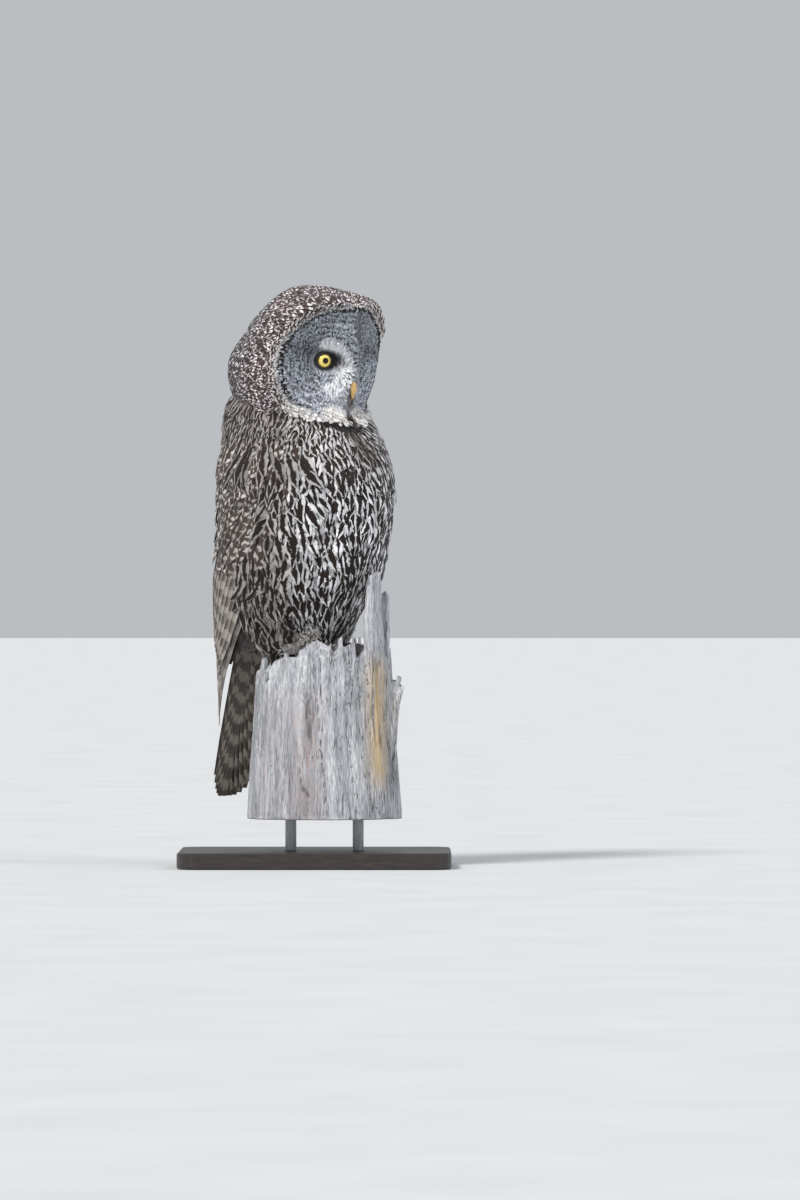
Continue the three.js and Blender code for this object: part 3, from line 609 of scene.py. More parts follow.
# The coat: feathers laid over a surface and joined into one mesh. Profiles are their widths, root to tip.
PROFILES = {
    "soft": [0.45, 0.8, 1.0, 1.0, 0.82, 0.3],
    "rounded": [0.4, 0.82, 1.0, 1.0, 0.86, 0.42],
    "narrow": [0.7, 1.0, 0.95, 0.8, 0.5, 0.08],
    "pointed": [0.4, 0.8, 1.0, 0.92, 0.62, 0.1],
}
# A feather's places across it, from its left edge to its right one
FIVE_ACROSS = (-1, -0.5, 0, 0.5, 1)
SEVEN_ACROSS = (-1, -0.75, -0.4, 0, 0.4, 0.75, 1)
VANE_ACROSS = np.array([-1, -0.72, -0.4, -0.06, 0.06, 0.4, 0.72, 1])
# How large a small feather is on the unwrap for baking
BAKE_PATCH = 0.003


def widths(profile, t):
    """A feather's width at shares of its length, as a share of its greatest."""
    shape = PROFILES[profile]
    return np.interp(t, np.linspace(0, 1, len(shape)), shape)


def on_feather(places, t):
    """Each place's own unwrap on one feather, as rows from its root to its tip."""
    return columns((places + 1) / 2, t[:, None])


def unwrap(points):
    """Places on an unwrap of the owl's own shape: turn round the body, and height."""
    f, l, z = body.parts(points)
    turn = np.arctan2(l, f + 10) / (2 * math.pi)
    return columns(0.02 + 0.95 * (turn + 0.5), 0.02 + 0.96 * (z - 60) / 680)


class Coat:
    """Feathers as stations along their middles, each with the directions to the side and outward."""

    def __init__(self, draw, roots, length, middles, sides, outs):
        self.draw = draw
        self.roots = roots
        self.length = length
        self.middles = middles
        self.sides = sides
        self.outs = outs
        self.count = len(roots)
        self.steps = middles.shape[1] - 1

    def build(
        self, name, half, paint, profile="soft", across=(-1, 0, 1), cup=0.25, ragged=0.18, slot="plumage",
    ):
        """One mesh of all the feathers. paint gives each one's colours and pattern from its root."""
        draw = self.draw
        places = np.asarray(across, float)
        t = np.linspace(0, 1, self.steps + 1)
        grid = (self.count, len(t), len(places))
        half = np.broadcast_to(half, self.count) * draw.uniform(0.85, 1.15, self.count)
        width = half[:, None, None] * widths(profile, t)[None, :, None] * places
        at_edge = np.abs(places) > 0.9
        width = width * (1 + at_edge * draw.uniform(-ragged, ragged, grid))
        sideways = self.sides[:, :, None, :] * width[..., None]
        drop = cup * np.abs(width) * np.abs(places)
        points = self.middles[:, :, None, :] + sideways - self.outs[:, :, None, :] * drop[..., None]
        flow = np.gradient(self.middles, axis=1)
        slip = draw.uniform(-0.5, 0.5, grid) * ragged * 2 * np.abs(places)
        slip[:, 0] = 0
        points = points + flow[:, :, None, :] * slip[..., None]
        starts = np.arange(self.count) * len(t) * len(places)
        faces = grid_faces(len(t), len(places), starts)
        made = mesh_object(name, points.reshape(-1, 3), faces, PLUMAGE)
        own = np.broadcast_to(on_feather(places, t), (*grid, 2))
        spots = unwrap(self.roots)[:, None, None, :] + BAKE_PATCH * (own - 0.5)
        uv_map(made.data, "OFBake", spots.reshape(-1, 2))
        uv_map(made.data, "Feather", own.reshape(-1, 2))
        for key, values in paint(self).items():
            spread = np.broadcast_to(values[:, :, None], (*grid, 4))
            colour_attribute(made.data, key, spread.reshape(-1, 4))
        return made


def laid(roots, lie, length, distance, seed, steps=4, sink=1.2, lift=3.0, sway=0.12, base=0.0):
    """Feathers laid over a surface from their roots, each along the lie of the coat.

    They start sink below the surface and end about lift above it, both from the base's height.
    """
    draw = np.random.default_rng(seed)
    count = len(roots)
    length = np.broadcast_to(length, count) * draw.uniform(0.85, 1.15, count)
    roots, out = settle(roots, distance, 2)
    points = roots
    turn = draw.normal(0, sway, count)[:, None]
    raise_by = np.broadcast_to(lift, count) * draw.uniform(0.6, 1.4, count)
    middles, sides, outs = [], [], []
    for t in np.linspace(0, 1, steps + 1):
        flow = lie(points)
        flow = unit(flow - along(flow, out) * out)
        bent = turn * (0.5 + t)
        flow = unit(flow * np.cos(bent) + np.cross(out, flow) * np.sin(bent))
        height = base + lerp(-sink, raise_by, smooth(t, 0, 0.8))
        middles.append(points + out * np.reshape(height, (-1, 1)))
        sides.append(np.cross(out, flow))
        outs.append(out)
        points, out = settle(points + flow * (length / steps)[:, None], distance)
    return Coat(draw, roots, length, *(np.stack(rows, 1) for rows in (middles, sides, outs)))


def paints(coat, ground, mark, streak, bars, count, phase=None, edge=0.0):
    """A coat's colour attributes. Each value is for all, for each feather, or for each row of each."""
    shape = (coat.count, coat.steps + 1)
    chance = coat.draw.uniform(0, 1, coat.count)
    phase = coat.draw.uniform(0, 1, coat.count) if phase is None else phase

    def spread(value):
        value = np.asarray(value, float)
        return np.broadcast_to(value[:, None] if value.ndim == 1 else value, shape)

    def spread_colour(colour):
        colour = np.asarray(colour, float)
        return np.broadcast_to(colour[:, None] if colour.ndim == 2 else colour, (*shape, 3))

    def four(colour, value):
        return np.concatenate([spread_colour(colour), spread(value)[..., None]], axis=-1)

    pattern = [spread(streak), spread(bars), spread(count) / MOST_BARS, spread(phase)]
    return {"Ground": four(ground, chance), "Mark": four(mark, edge), "Pattern": np.stack(pattern, axis=-1)}


# Colours of the plumage
WHITE = srgb(222, 219, 217)
DARK = srgb(58, 52, 48)
BLACK = srgb(34, 32, 33)
CROWN = srgb(212, 204, 203)


def blob(l, u, middle, radii, soft=0.35):
    """1 inside an ellipse on the face, falling to 0 across its soft edge."""
    far = np.hypot((l - middle[0]) / radii[0], (u - middle[1]) / radii[1])
    return 1 - smooth(far, 1 - soft, 1 + soft)


def near_line(l, u, line, half):
    """1 on a line through points on the face, falling to 0 at about a half width from it."""
    best = np.full(np.shape(l), 1e9)
    for (x0, y0), (x1, y1) in zip(line[:-1], line[1:]):
        dx, dy = x1 - x0, y1 - y0
        t = np.clip(((l - x0) * dx + (u - y0) * dy) / (dx * dx + dy * dy), 0, 1)
        best = np.minimum(best, np.hypot(l - x0 - t * dx, u - y0 - t * dy))
    return 1 - smooth(best, half * 0.55, half * 1.35)


# Places on the face, left and up from the head's middle: the pale crescent beside each eye, the white patch
# beside the bill, and the middle of each disc's rings, with how far apart the rings are
CRESCENT = [(31, 43), (22, 40), (14, 28), (9, 11), (13, -3), (23, -13)]
MOUSTACHE = ((21, -48), (20, 15))
RINGS = {"side": 28, "up": 21, "apart": 7.4}


def face_colours(l, u):
    """The face's ground colour at places left and up on it, and how strongly its rings show."""
    side = np.abs(l)
    ground = lerp(srgb(204, 208, 218), srgb(180, 186, 194), smooth(u, -30, 40)[..., None])
    rings = 0.9 * smooth(disc_reach(l, u), 13, 20)
    # Each layer's mask, colour and strength of the rings
    layers = [
        (0.7 * blob(side, u, (60, 34), (28, 12), 0.8), srgb(116, 120, 127), 0.9),
        (blob(side, u, (20, -24), (12, 9)), srgb(190, 194, 202), 0.3),
        (near_line(side, u, CRESCENT, 7.6), srgb(234, 236, 240), 0.08),
        (blob(side, u, *MOUSTACHE), srgb(240, 236, 233), 0.0),
        (blob(side, u, (26, 22), (14.5, 12.5), 0.2), srgb(36, 34, 36), 0.0),
        (0.8 * near_line(side, u, [(0, 48), (0, 90)], 3.4), srgb(84, 82, 84), 0.0),
        (blob(side, u, (0, -56), (9, 17)), srgb(60, 53, 50), 0.0),
        (blob(side, u, (0, -18), (6, 20)), srgb(86, 80, 78), 0.0),
    ]
    for mask, colour, ring in layers:
        ground = lerp(ground, colour, mask[..., None])
        rings = lerp(rings, ring, mask)
    return ground, rings


def disc_reach(l, u):
    """How far places on the face are from the middle of their disc's rings."""
    return np.hypot(np.abs(l) - RINGS["side"], u - RINGS["up"])


def disc_round(l, u):
    return np.hypot(l / FACE["half"], (u - FACE["middle"]) / FACE["height"])


def jittered(low, high, spacing, draw):
    """Places on a plane, about spacing apart."""
    x, y = np.meshgrid(np.arange(*low, spacing), np.arange(*high, spacing * ROW_STEP))
    x = x + (np.arange(len(x)) % 2)[:, None] * spacing / 2
    x = x + draw.uniform(-0.35, 0.35, x.shape) * spacing
    y = y + draw.uniform(-0.35, 0.35, y.shape) * spacing
    return x.ravel(), y.ravel()


def on_face(l, u):
    return on_head(columns(face_forward(l, u), l, u))


def face_lie(points):
    """Outward over the disc from its rings' middle, up at the brow and down beside the bill."""
    _, l, u = head.parts(points)
    side = np.sign(l) + (l == 0)
    across = l - side * RINGS["side"]
    rise = u - RINGS["up"]
    far = np.maximum(np.hypot(across, rise), 1)
    lift = 0.9 * bump(np.abs(l) - 4, 9) * smooth(u, -5, 25)
    sink = 0.9 * bump(np.abs(l) - 2, 10) * smooth(-u, -2, 20)
    return head.turn(columns(0.05 - 0.35 * far / 60, across / far, rise / far + lift - sink))


def discs():
    """Fine feathers over the face, with rings round the eyes."""
    draw = np.random.default_rng(11)
    l, u = jittered((-92, 92), (-66, 92), 2.25, draw)
    eye = np.hypot((np.abs(l) - 27.5) / 10.2, (u - 21.5) / 9.6)
    bill = np.hypot(l / 6.5, (u + 12) / 18)
    keep = (disc_round(l, u) < 1.02) & (eye > 1) & (bill > 1)
    l, u = l[keep], u[keep]
    side, far = np.abs(l), disc_reach(l, u)
    length = lerp(5.5, 12.5, smooth(far, 10, 40)) * lerp(0.75, 1, smooth(side, 2, 14))
    lift = 1.7 + 2.6 * blob(side, u, *MOUSTACHE) + 1.2 * near_line(side, u, CRESCENT, 6.8)
    coat = laid(on_face(l, u), face_lie, length, front_distance, 12, steps=3, sink=0.7, lift=lift, sway=0.24)

    def paint(coat):
        _, across, rise = head.parts(coat.middles)
        ground, rings = face_colours(across, rise)
        dark = 0.72 + 0.3 * coat.draw.uniform(-1, 1, coat.count)[:, None, None]
        mark = lerp(ground, srgb(26, 27, 32), np.clip(dark, 0, 1))
        coarse, fine = (value_noise(columns(l / size, u / size, 0), seed) for size, seed in ((9, 6), (4, 7)))
        phase = far / RINGS["apart"] + 1.2 * (coarse + 0.6 * fine) + 0.08 * coat.draw.normal(size=coat.count)
        return paints(coat, ground, mark, 0.25 * rings, rings, coat.length / RINGS["apart"], phase % 1)

    half = lerp(1.0, 1.8, smooth(far, 10, 34))
    return coat.build("coat_discs", half, paint, "narrow", cup=0.2, ragged=0.15)


def away_from_face(points):
    _, l, u = head.parts(points)
    chin = smooth(-u, 12, 42) * bump(l, 70)
    return head.turn(columns(-1 + 0.95 * chin, 0.55 * l / 80, (u - 17) / 90))


# The ruff's rows: share of the disc's size, feathers' length and half width, colour, strength of their bars
RUFF = [
    (0.985, 5.5, 1.5, BLACK, 0.1), (1.01, 6, 1.6, BLACK, 0.3), (1.03, 6.5, 1.8, WHITE, 0.45),
    (1.045, 7, 1.9, WHITE, 0.6), (1.065, 9, 2.4, CROWN, 0.95), (1.09, 12, 3.4, CROWN, 1.0),
]
RIM_LENGTH = 480


def ruff():
    """Short stiff feathers round the discs: a dark row at the rim, then paler specked rows."""
    draw = np.random.default_rng(21)
    places, rows = [], []
    for share, length, half, colour, bars in RUFF:
        count = int(RIM_LENGTH * share / (half * 0.95))
        turn = (np.arange(count) + draw.uniform(-0.3, 0.3, count)) / count * 2 * math.pi
        wide = share + draw.uniform(-0.012, 0.012, count)
        left = np.cos(turn) * FACE["half"] * wide
        up = FACE["middle"] + np.sin(turn) * FACE["height"] * wide
        places.append(columns(left, up))
        rows.append(np.tile([length, half, bars, *colour], (count, 1)))
    l, u = np.vstack(places).T
    rows = np.vstack(rows)
    length, half, bars = rows[:, :3].T
    chin = bump(l, 52) * smooth(-u, 18, 38)
    bib = bump(l, 6) * smooth(-u, 30, 42)
    white = np.clip(1.6 * chin * smooth(disc_round(l, u), 0.98, 1.0), 0, 1)
    ground = lerp(rows[:, 3:], WHITE * 1.15, white[:, None])
    ground = lerp(ground, DARK, bib[:, None])
    chin = chin * smooth(disc_round(l, u), 1.0, 1.03)
    coat = laid(
        on_face(l, u), away_from_face, length + 6 * chin, front_distance, 22,
        steps=3, sink=1.4, lift=2.2 + 4 * chin,
    )

    def paint(coat):
        return paints(coat, ground, srgb(60, 50, 46), 0, bars * (1 - 0.95 * chin), coat.length / 6)

    return coat.build("coat_ruff", half, paint, "rounded", cup=0.35)


def sphere_directions(count, draw):
    i = np.arange(count) + 0.5
    height = 1 - 2 * i / count
    turn = i * math.pi * (3 - math.sqrt(5)) + draw.uniform(-0.3, 0.3, count) * 2.4 / math.sqrt(count)
    flat = np.sqrt(1 - height * height)
    return columns(flat * np.cos(turn), flat * np.sin(turn), height)


def crown():
    """The feathers of the head's top, sides and back."""
    draw = np.random.default_rng(31)
    direction = sphere_directions(6400, draw)
    roots = on_head(direction)
    f, l, u = head.parts(roots)
    on_disc = (direction[:, 0] > 0) & (disc_round(l, u) < 1.09) & (f > 10)
    keep = ~on_disc & (torso.distance(roots) + chin_room(roots) > -1) & (roots[:, 2] > 530)
    roots, f = roots[keep], f[keep]
    behind = smooth(-f, -30, 70)
    front = smooth(f, -60, 20)[:, None]

    def lie(points):
        f, l, _ = head.parts(points)
        down = 0.3 + 1.2 * smooth(-f, -20, 80)
        return head.turn(columns(-1, 0.5 * l / 90, -down))

    coat = laid(roots, lie, lerp(13, 21, behind), head_distance, 32, steps=3, lift=2.2, sway=0.16)
    chance = draw.uniform(0, 1, len(roots))[:, None]
    grey = lerp(srgb(140, 137, 141), srgb(206, 205, 211), chance)
    pale = lerp(srgb(170, 158, 160), srgb(246, 240, 243), chance)

    def paint(coat):
        mark = lerp(srgb(56, 50, 49), srgb(66, 53, 51), front)
        edge = 0.2 * coat.draw.uniform(0, 1, coat.count)
        return paints(coat, lerp(grey, pale, front), mark, 0.5, 0.97, coat.length / 12, edge=edge)

    return coat.build("coat_crown", lerp(4.0, 5.8, behind), paint, "rounded", cup=0.3)


def on_hull(hull, angles, heights, spacing, draw):
    """Angles from the front, heights and points of roots over a hull, about spacing apart."""
    around = spacing / TORSO_REACH * DEGREES
    # No use is made of these places, but the draws that follow depend on theirs
    jittered(angles, heights, around, draw)
    rows = np.linspace(*heights, int((heights[1] - heights[0]) / (spacing * ROW_STEP)))
    angle, z = np.meshgrid(np.arange(*angles, around), rows)
    angle = angle + (np.arange(len(rows)) % 2)[:, None] * around / 2
    angle = angle + draw.uniform(-0.4, 0.4, angle.shape) * around
    z = z + draw.uniform(-0.4, 0.4, z.shape) * spacing
    angle, z = angle.ravel(), z.ravel()
    return angle, z, hull.at(angle, z)


def down_lie(points):
    """Down the body, with a slow curl from place to place."""
    _, l, _ = body.parts(points)
    curl, bend = (value_noise(points / 34, seed) - 0.5 for seed in (43, 44))
    return body.turn(columns(0.7 * bend, 0.7 * curl - 0.12 * l / 90, -1))


def side_share(roots):
    """0 on the front of the body, 1 round on its sides and back."""
    f, l, _ = body.parts(roots)
    return smooth(np.abs(np.degrees(np.arctan2(l, f + 5))), 48, 82)


def breast_paint(coat):
    roots = coat.roots
    z = roots[:, 2]
    l = head.local(roots)[:, 1]
    neck = smooth(z, 490, 535)[:, None]
    low = smooth(-z, -400, -330)[:, None]
    chance = coat.draw.uniform(0, 1, coat.count)[:, None]
    ground = lerp(srgb(206, 205, 208), srgb(244, 244, 247), chance)
    ground = lerp(ground, srgb(190, 185, 185), 0.8 * neck)
    ground = lerp(ground, srgb(196, 194, 192), 0.7 * low)
    ground = lerp(ground, srgb(150, 144, 140), side_share(roots)[:, None])
    bib = (bump(l, 12) * smooth(z, 505, 530))[:, None]
    ground = lerp(ground, srgb(96, 84, 79), bib)
    mark = lerp(srgb(34, 27, 23), srgb(46, 38, 35), neck)
    bars = lerp(0.3, 0.75, smooth(-z, -520, -380)) * coat.draw.uniform(0.2, 1, coat.count)
    streak = coat.draw.uniform(0.35, 1, coat.count)
    return paints(coat, ground, mark, streak, bars, coat.length / 22, edge=0.2)


def breast():
    """Long loose feathers over the breast, belly and flanks, which lap over the wings' front edges."""
    draw = np.random.default_rng(41)
    angle, z, roots = on_hull(torso, (-104, 104), (268, 520), 8.4, draw)
    keep = (np.abs(angle) < 84) | (z > 500) | (z < 400)
    angle, z, roots = angle[keep], z[keep], roots[keep]
    length = 46 * lerp(0.5, 1, smooth(z, 265, 335))
    over_wing = smooth(np.abs(angle), 52, 68) * smooth(z, 330, 370)
    coat = laid(
        roots, down_lie, length, owl_distance, 42,
        steps=8, sink=1.5, lift=4.5, sway=0.2, base=lerp(-4.5, 4.0, over_wing),
    )
    return coat.build("coat_breast", 7.4, breast_paint, "soft", SEVEN_ACROSS, cup=0.3, ragged=0.24)


def throat():
    """The neck's feathers, from under the disc's rim down over the breast and back."""
    draw = np.random.default_rng(45)
    _, _, roots = on_hull(torso, (-180, 180), (500, 606), 6.0, draw)
    roots, _ = settle(roots, front_distance, 3)
    f, l, u = head.parts(roots)
    on_neck = torso.distance(roots) + chin_room(roots) < head_distance(roots) + 2
    keep = ((disc_round(l, u) > 1.08) | (f < 10)) & (on_neck | (roots[:, 2] < 545))
    roots = roots[keep]
    length = lerp(40, 19, smooth(roots[:, 2], 500, 555))
    coat = laid(
        roots, down_lie, length, front_distance, 46, steps=5, sink=1.3, lift=3.5, sway=0.22, base=-2.0,
    )
    half = lerp(7.4, 4.4, smooth(coat.roots[:, 2], 500, 555))
    return coat.build("coat_throat", half, breast_paint, "soft", FIVE_ACROSS, cup=0.3, ragged=0.24)


def mantle():
    """The back's feathers between and over the wings."""
    draw = np.random.default_rng(51)
    angle, z, roots = on_hull(torso, (66, 294), (420, 530), 8.6, draw)
    from_back = np.minimum(np.abs(angle - 180), 90)
    keep = (head_distance(roots) > -6) & (z > lerp(300, 505, smooth(from_back, 10, 40)))
    z, roots = z[keep], roots[keep]
    length = lerp(28, 42, smooth(z, 545, 480))
    base = lerp(3.5, -1.0, smooth(z, 485, 525))
    coat = laid(roots, down_lie, length, owl_distance, 52, sink=1.5, lift=5.0, base=base)
    ground = lerp(srgb(168, 162, 158), srgb(196, 191, 188), draw.uniform(0, 1, len(roots))[:, None])

    def paint(coat):
        streak = coat.draw.uniform(0.4, 0.9, coat.count)
        return paints(coat, ground, srgb(62, 52, 47), streak, 0.9, coat.length / 11, edge=0.4)

    return coat.build("coat_mantle", 8.0, paint, "soft", FIVE_ACROSS, cup=0.3, ragged=0.25)


def rump():
    """The feathers under the folded wings, down to the tail's root."""
    draw = np.random.default_rng(61)
    _, _, roots = on_hull(torso, (100, 260), (275, 430), 8.0, draw)
    coat = laid(roots, down_lie, 30, torso.distance, 62, sink=1.5, lift=4.0)

    def paint(coat):
        return paints(coat, srgb(120, 114, 110), DARK, 0.4, 0.8, 4, edge=0.2)

    return coat.build("coat_rump", 6.5, paint, "soft", cup=0.3, ragged=0.25)


# Tiers of wing coverts, from the lowest up. Each has its first and last row's height at the wing's front and
# at its rear, and the base that its feathers stand on. Then their angles from the owl's front.
COVERTS = [
    {"front": (398, 438), "rear": (414, 466), "spacing": 13.5, "length": 48, "half": 10.5, "base": 0.6},
    {"front": (436, 472), "rear": (456, 494), "spacing": 11.5, "length": 38, "half": 9.0, "base": 1.4},
    {"front": (468, 508), "rear": (490, 516), "spacing": 9.0, "length": 28, "half": 7.2, "base": 2.0},
]
COVERT_ANGLES = (60, 172)


def coverts(side, name):
    """Rows of coverts over one folded wing."""
    draw = np.random.default_rng(71 + side)
    first, last = COVERT_ANGLES
    rows = []
    for tier in COVERTS:
        # No use is made of these places, but the draws that follow depend on theirs
        jittered(COVERT_ANGLES, (0, 1), 1.0, draw)
        around = tier["spacing"] / WING_REACH * DEGREES
        count = int((tier["front"][1] - tier["front"][0]) / (tier["spacing"] * 0.8))
        for part in np.arange(count + 1) / count:
            angle = np.arange(first, last, around)
            angle = angle + draw.uniform(-0.35, 0.35, len(angle)) * around
            z = lerp(lerp(*tier["front"], part), lerp(*tier["rear"], part), (angle - first) / (last - first))
            z = z + draw.uniform(-2, 2, len(angle))
            rows.append(columns(angle, z, tier["length"], tier["half"], tier["base"]))
    angle, z, length, half, base = np.vstack(rows).T

    def lie(points):
        _, l, _ = body.parts(points)
        return body.turn(columns(-0.42, -0.2 * l / 90, -1))

    roots = wings.at(side * angle, z)
    coat = laid(roots, lie, length, owl_distance, 72 + side, lift=4.5, sway=0.07, base=base)

    def paint(coat):
        ground = lerp(srgb(140, 133, 128), srgb(186, 182, 180), coat.draw.uniform(0, 1, coat.count)[:, None])
        edge = 0.5 * coat.draw.uniform(0, 1, coat.count) ** 2
        return paints(coat, ground, srgb(66, 56, 51), 0.5, 0.95, coat.length / 11, edge=edge)

    return coat.build(
        f"coverts_{name}", half, paint, "rounded", FIVE_ACROSS, ragged=0.15, slot="flight_feathers",
    )


# Long vanes of the wings and tail, each with a shaft
def long_vanes(name, vanes):
    """One mesh of long vanes, each given as stations of middle, side, out and width, and its colours."""
    places = VANE_ACROSS
    wide = len(places)
    cells = math.ceil(math.sqrt(len(vanes)))
    parts, uv, bake = [], [], []
    colours = {"Ground": [], "Mark": [], "Pattern": []}
    for index, vane in enumerate(vanes):
        middle, side, out, width = (vane[key] for key in ("middle", "side", "out", "width"))
        rows = len(middle)
        draw = np.random.default_rng(900 + index)
        ragged = 1 + 0.015 * draw.uniform(-1, 1, (rows, wide)) * (np.abs(places) > 0.9)
        offset = width[:, None] * places * ragged
        shaft = 0.7 * bump(places, 0.1) * np.linspace(1, 0.3, rows)[:, None]
        rise = shaft - 0.16 * np.abs(offset) * np.abs(places)
        grid = middle[:, None] + side[:, None] * offset[..., None] + out[:, None] * rise[..., None]
        parts.append((grid.reshape(-1, 3), grid_faces(rows, wide)))
        own = on_feather(places, np.linspace(0, 1, rows)).reshape(-1, 2)
        uv.append(own)
        bake.append((np.array([index % cells, index // cells]) + 0.05 + 0.9 * own) / cells)
        for key, values in (
            ("Ground", [*vane["ground"], draw.uniform(0.3, 0.7)]),
            ("Mark", [*vane["mark"], vane["edge"]]),
            ("Pattern", [0.15, 0.95, vane["bars"] / MOST_BARS, vane["phase"]]),
        ):
            colours[key].append(np.tile(values, (rows * wide, 1)))
    made = mesh_object(name, *joined(parts), PLUMAGE)
    uv_map(made.data, "OFBake", np.vstack(bake))
    uv_map(made.data, "Feather", np.vstack(uv))
    for key, values in colours.items():
        colour_attribute(made.data, key, np.vstack(values))
    return made


def turned(a, b, angle):
    """Two square directions turned by an angle in their plane, from the first towards the second."""
    cosine, sine = math.cos(angle), math.sin(angle)
    return a * cosine + b * sine, b * cosine - a * sine


# Tiers of flight feathers. Roots and tips are given for the first and the last feather, as the angle, height
# and offset from the wing, and the droop lowers the tips between them.
FLIGHT = [
    {
        "count": 9, "width": 12, "profile": "pointed", "tilt": 5, "bars": 8,
        "root": ((86, 398, -4), (104, 402, -2.5)), "tip": ((140, 176, -1), (147, 262, 1.5)),
        "droop": (0, -24, -20, -8, 0),
    },
    {
        "count": 11, "width": 17, "profile": "rounded", "tilt": 6, "bars": 7,
        "root": ((90, 424, -3), (150, 430, -1)), "tip": ((126, 252, 3.5), (170, 330, 6)),
        "droop": (0, 0),
    },
    {
        "count": 7, "width": 15, "profile": "rounded", "tilt": 6, "bars": 5,
        "root": ((118, 500, -3), (164, 500, -3)), "tip": ((132, 412, 4.0), (169, 396, 4.5)),
        "droop": (0, 0),
    },
]


def wing_vanes(side, name):
    """One folded wing's flight feathers."""
    draw = np.random.default_rng(81 + side)
    vanes = []
    t = np.linspace(0, 1, 16)
    rise = smooth(t, 0, 0.6) * 0.75 + t * 0.25
    for tier in FLIGHT:
        for i in range(tier["count"]):
            part = i / (tier["count"] - 1)
            root, tip = (lerp(*np.array(tier[end], float), part) for end in ("root", "tip"))
            tip[1] += np.interp(part, np.linspace(0, 1, len(tier["droop"])), tier["droop"])
            root[:2] += draw.uniform(-1, 1, 2)
            tip[:2] += draw.uniform(-1, 1, 2)
            angle = side * lerp(root[0], tip[0], t)
            offset = lerp(root[2], tip[2], rise) + 0.2 * (i % 2)
            middle = wings.at(angle, lerp(root[1], tip[1], t), offset)
            ahead = unit(np.gradient(middle, axis=0))
            _, out = settle(middle, wings.distance, 0)
            across = unit(np.cross(ahead, out))
            out = unit(np.cross(across, ahead))
            across, out = turned(across, out, math.radians(side * tier["tilt"]))
            vanes.append({
                "middle": middle, "side": across, "out": out,
                "width": tier["width"] * widths(tier["profile"], t),
                "ground": srgb(140, 132, 124), "mark": srgb(76, 66, 59), "bars": tier["bars"],
                "phase": draw.uniform(0, 0.2), "edge": 0.25,
            })
    return long_vanes(f"flight_{name}", vanes)


def tail_vanes():
    """The tail's pairs of feathers, with short coverts over their roots."""
    lean = math.atan2(TAIL["root_forward"] - TAIL["tip_forward"], TAIL["root_up"] - TAIL["tip_up"])
    outward = body.turn([-math.cos(lean), 0, math.sin(lean)])
    sideways = body.turn([0, 1, 0])
    share = np.linspace(0, 1, 20)
    draw = np.random.default_rng(91)
    vanes = []

    def vane(span, left, depth, width, bars, roll=0):
        """Adds one that spans shares of the tail, going from left[0] to left[1], and likewise in depth."""
        middle = tail_middle(lerp(*span, share), lerp(*left, share))
        middle = middle + outward * lerp(*depth, share)[:, None]
        across, out = turned(sideways, outward, -math.radians(roll))
        vanes.append({
            "middle": middle, "side": np.tile(across, (len(share), 1)), "out": np.tile(out, (len(share), 1)),
            "width": width * widths("rounded", share),
            "ground": srgb(188, 180, 166), "mark": srgb(104, 91, 79), "bars": bars,
            "phase": draw.uniform(0, 0.15), "edge": 0.15,
        })

    for side in (-1, 1):
        for j in range(TAIL["pairs"]):
            out_by = j / (TAIL["pairs"] - 1)
            left = (side * (3 + 3.4 * j), side * lerp(7, TAIL["spread"], out_by))
            depth = (-0.4 * j + (0.5 if side > 0 else 0), -1.9 * j + (1.1 if side > 0 else 0))
            vane((0.1, 1 - 0.11 * out_by**2), left, depth, width=16.5, bars=9, roll=side * 3.5 * j)
    for row in range(3):
        for i in range(5 - row):
            place = (i - (4 - row) / 2) * 13
            vane((0.04, 0.38 - 0.09 * row), (place * 0.7, place), (3, 6 + 2 * row), width=12, bars=4)
    return long_vanes("tail_feathers", vanes)


def tail_middle(t, left):
    """Points down the tail, by the share of its length and how far left they are."""
    forward = lerp(TAIL["root_forward"], TAIL["tip_forward"], t)
    return body.at(columns(forward, left, lerp(TAIL["root_up"], TAIL["tip_up"], t)))


# Legs and feet
def leg_ring(side, turn, radius, z, forward=LEG["forward"]):
    """Points round a leg, by their turn from its front."""
    left = side * LEG["side"] + np.sin(turn) * radius * LEG["flat"]
    return body.at(columns(forward + np.cos(turn) * radius, left, z))


def toe_line(side, bearing, reach, up):
    """Points out along a toe from the middle of its foot."""
    turn = math.radians(bearing) * side
    forward = LEG["forward"] + math.cos(turn) * np.asarray(reach, float)
    return body.at(columns(forward, side * LEG["side"] + math.sin(turn) * np.asarray(reach, float), up))


def toe_directions(side, bearing):
    """The level directions along a toe and across it."""
    ahead = unit(toe_line(side, bearing, 1.0, 0.0) - toe_line(side, bearing, 0.0, 0.0))
    return ahead, unit(np.cross(ahead, UP))


def toe_solid(side, bearing, length, shrink):
    reach = np.array([-2, *(length * TOE_SHARES[1:]), length + 3])
    line = toe_line(side, bearing, reach, [*TOE_HEIGHTS, 268.3])
    radius = np.array([*TOE_RADII, 3]) - shrink
    _, aside = toe_directions(side, bearing)
    turn = full_turn(16)
    ring = np.cos(turn)[None, :, None] * aside + np.sin(turn)[None, :, None] * UP
    return loft(line[:, None] + radius[:, None, None] * ring)


def leg_solid(side, shrink):
    turn = full_turn(24)
    return loft([
        leg_ring(side, turn, radius - shrink, z, LEG["forward"] - 4 * smooth(z, 280, 330))
        for z, radius in LEG_ROWS
    ])


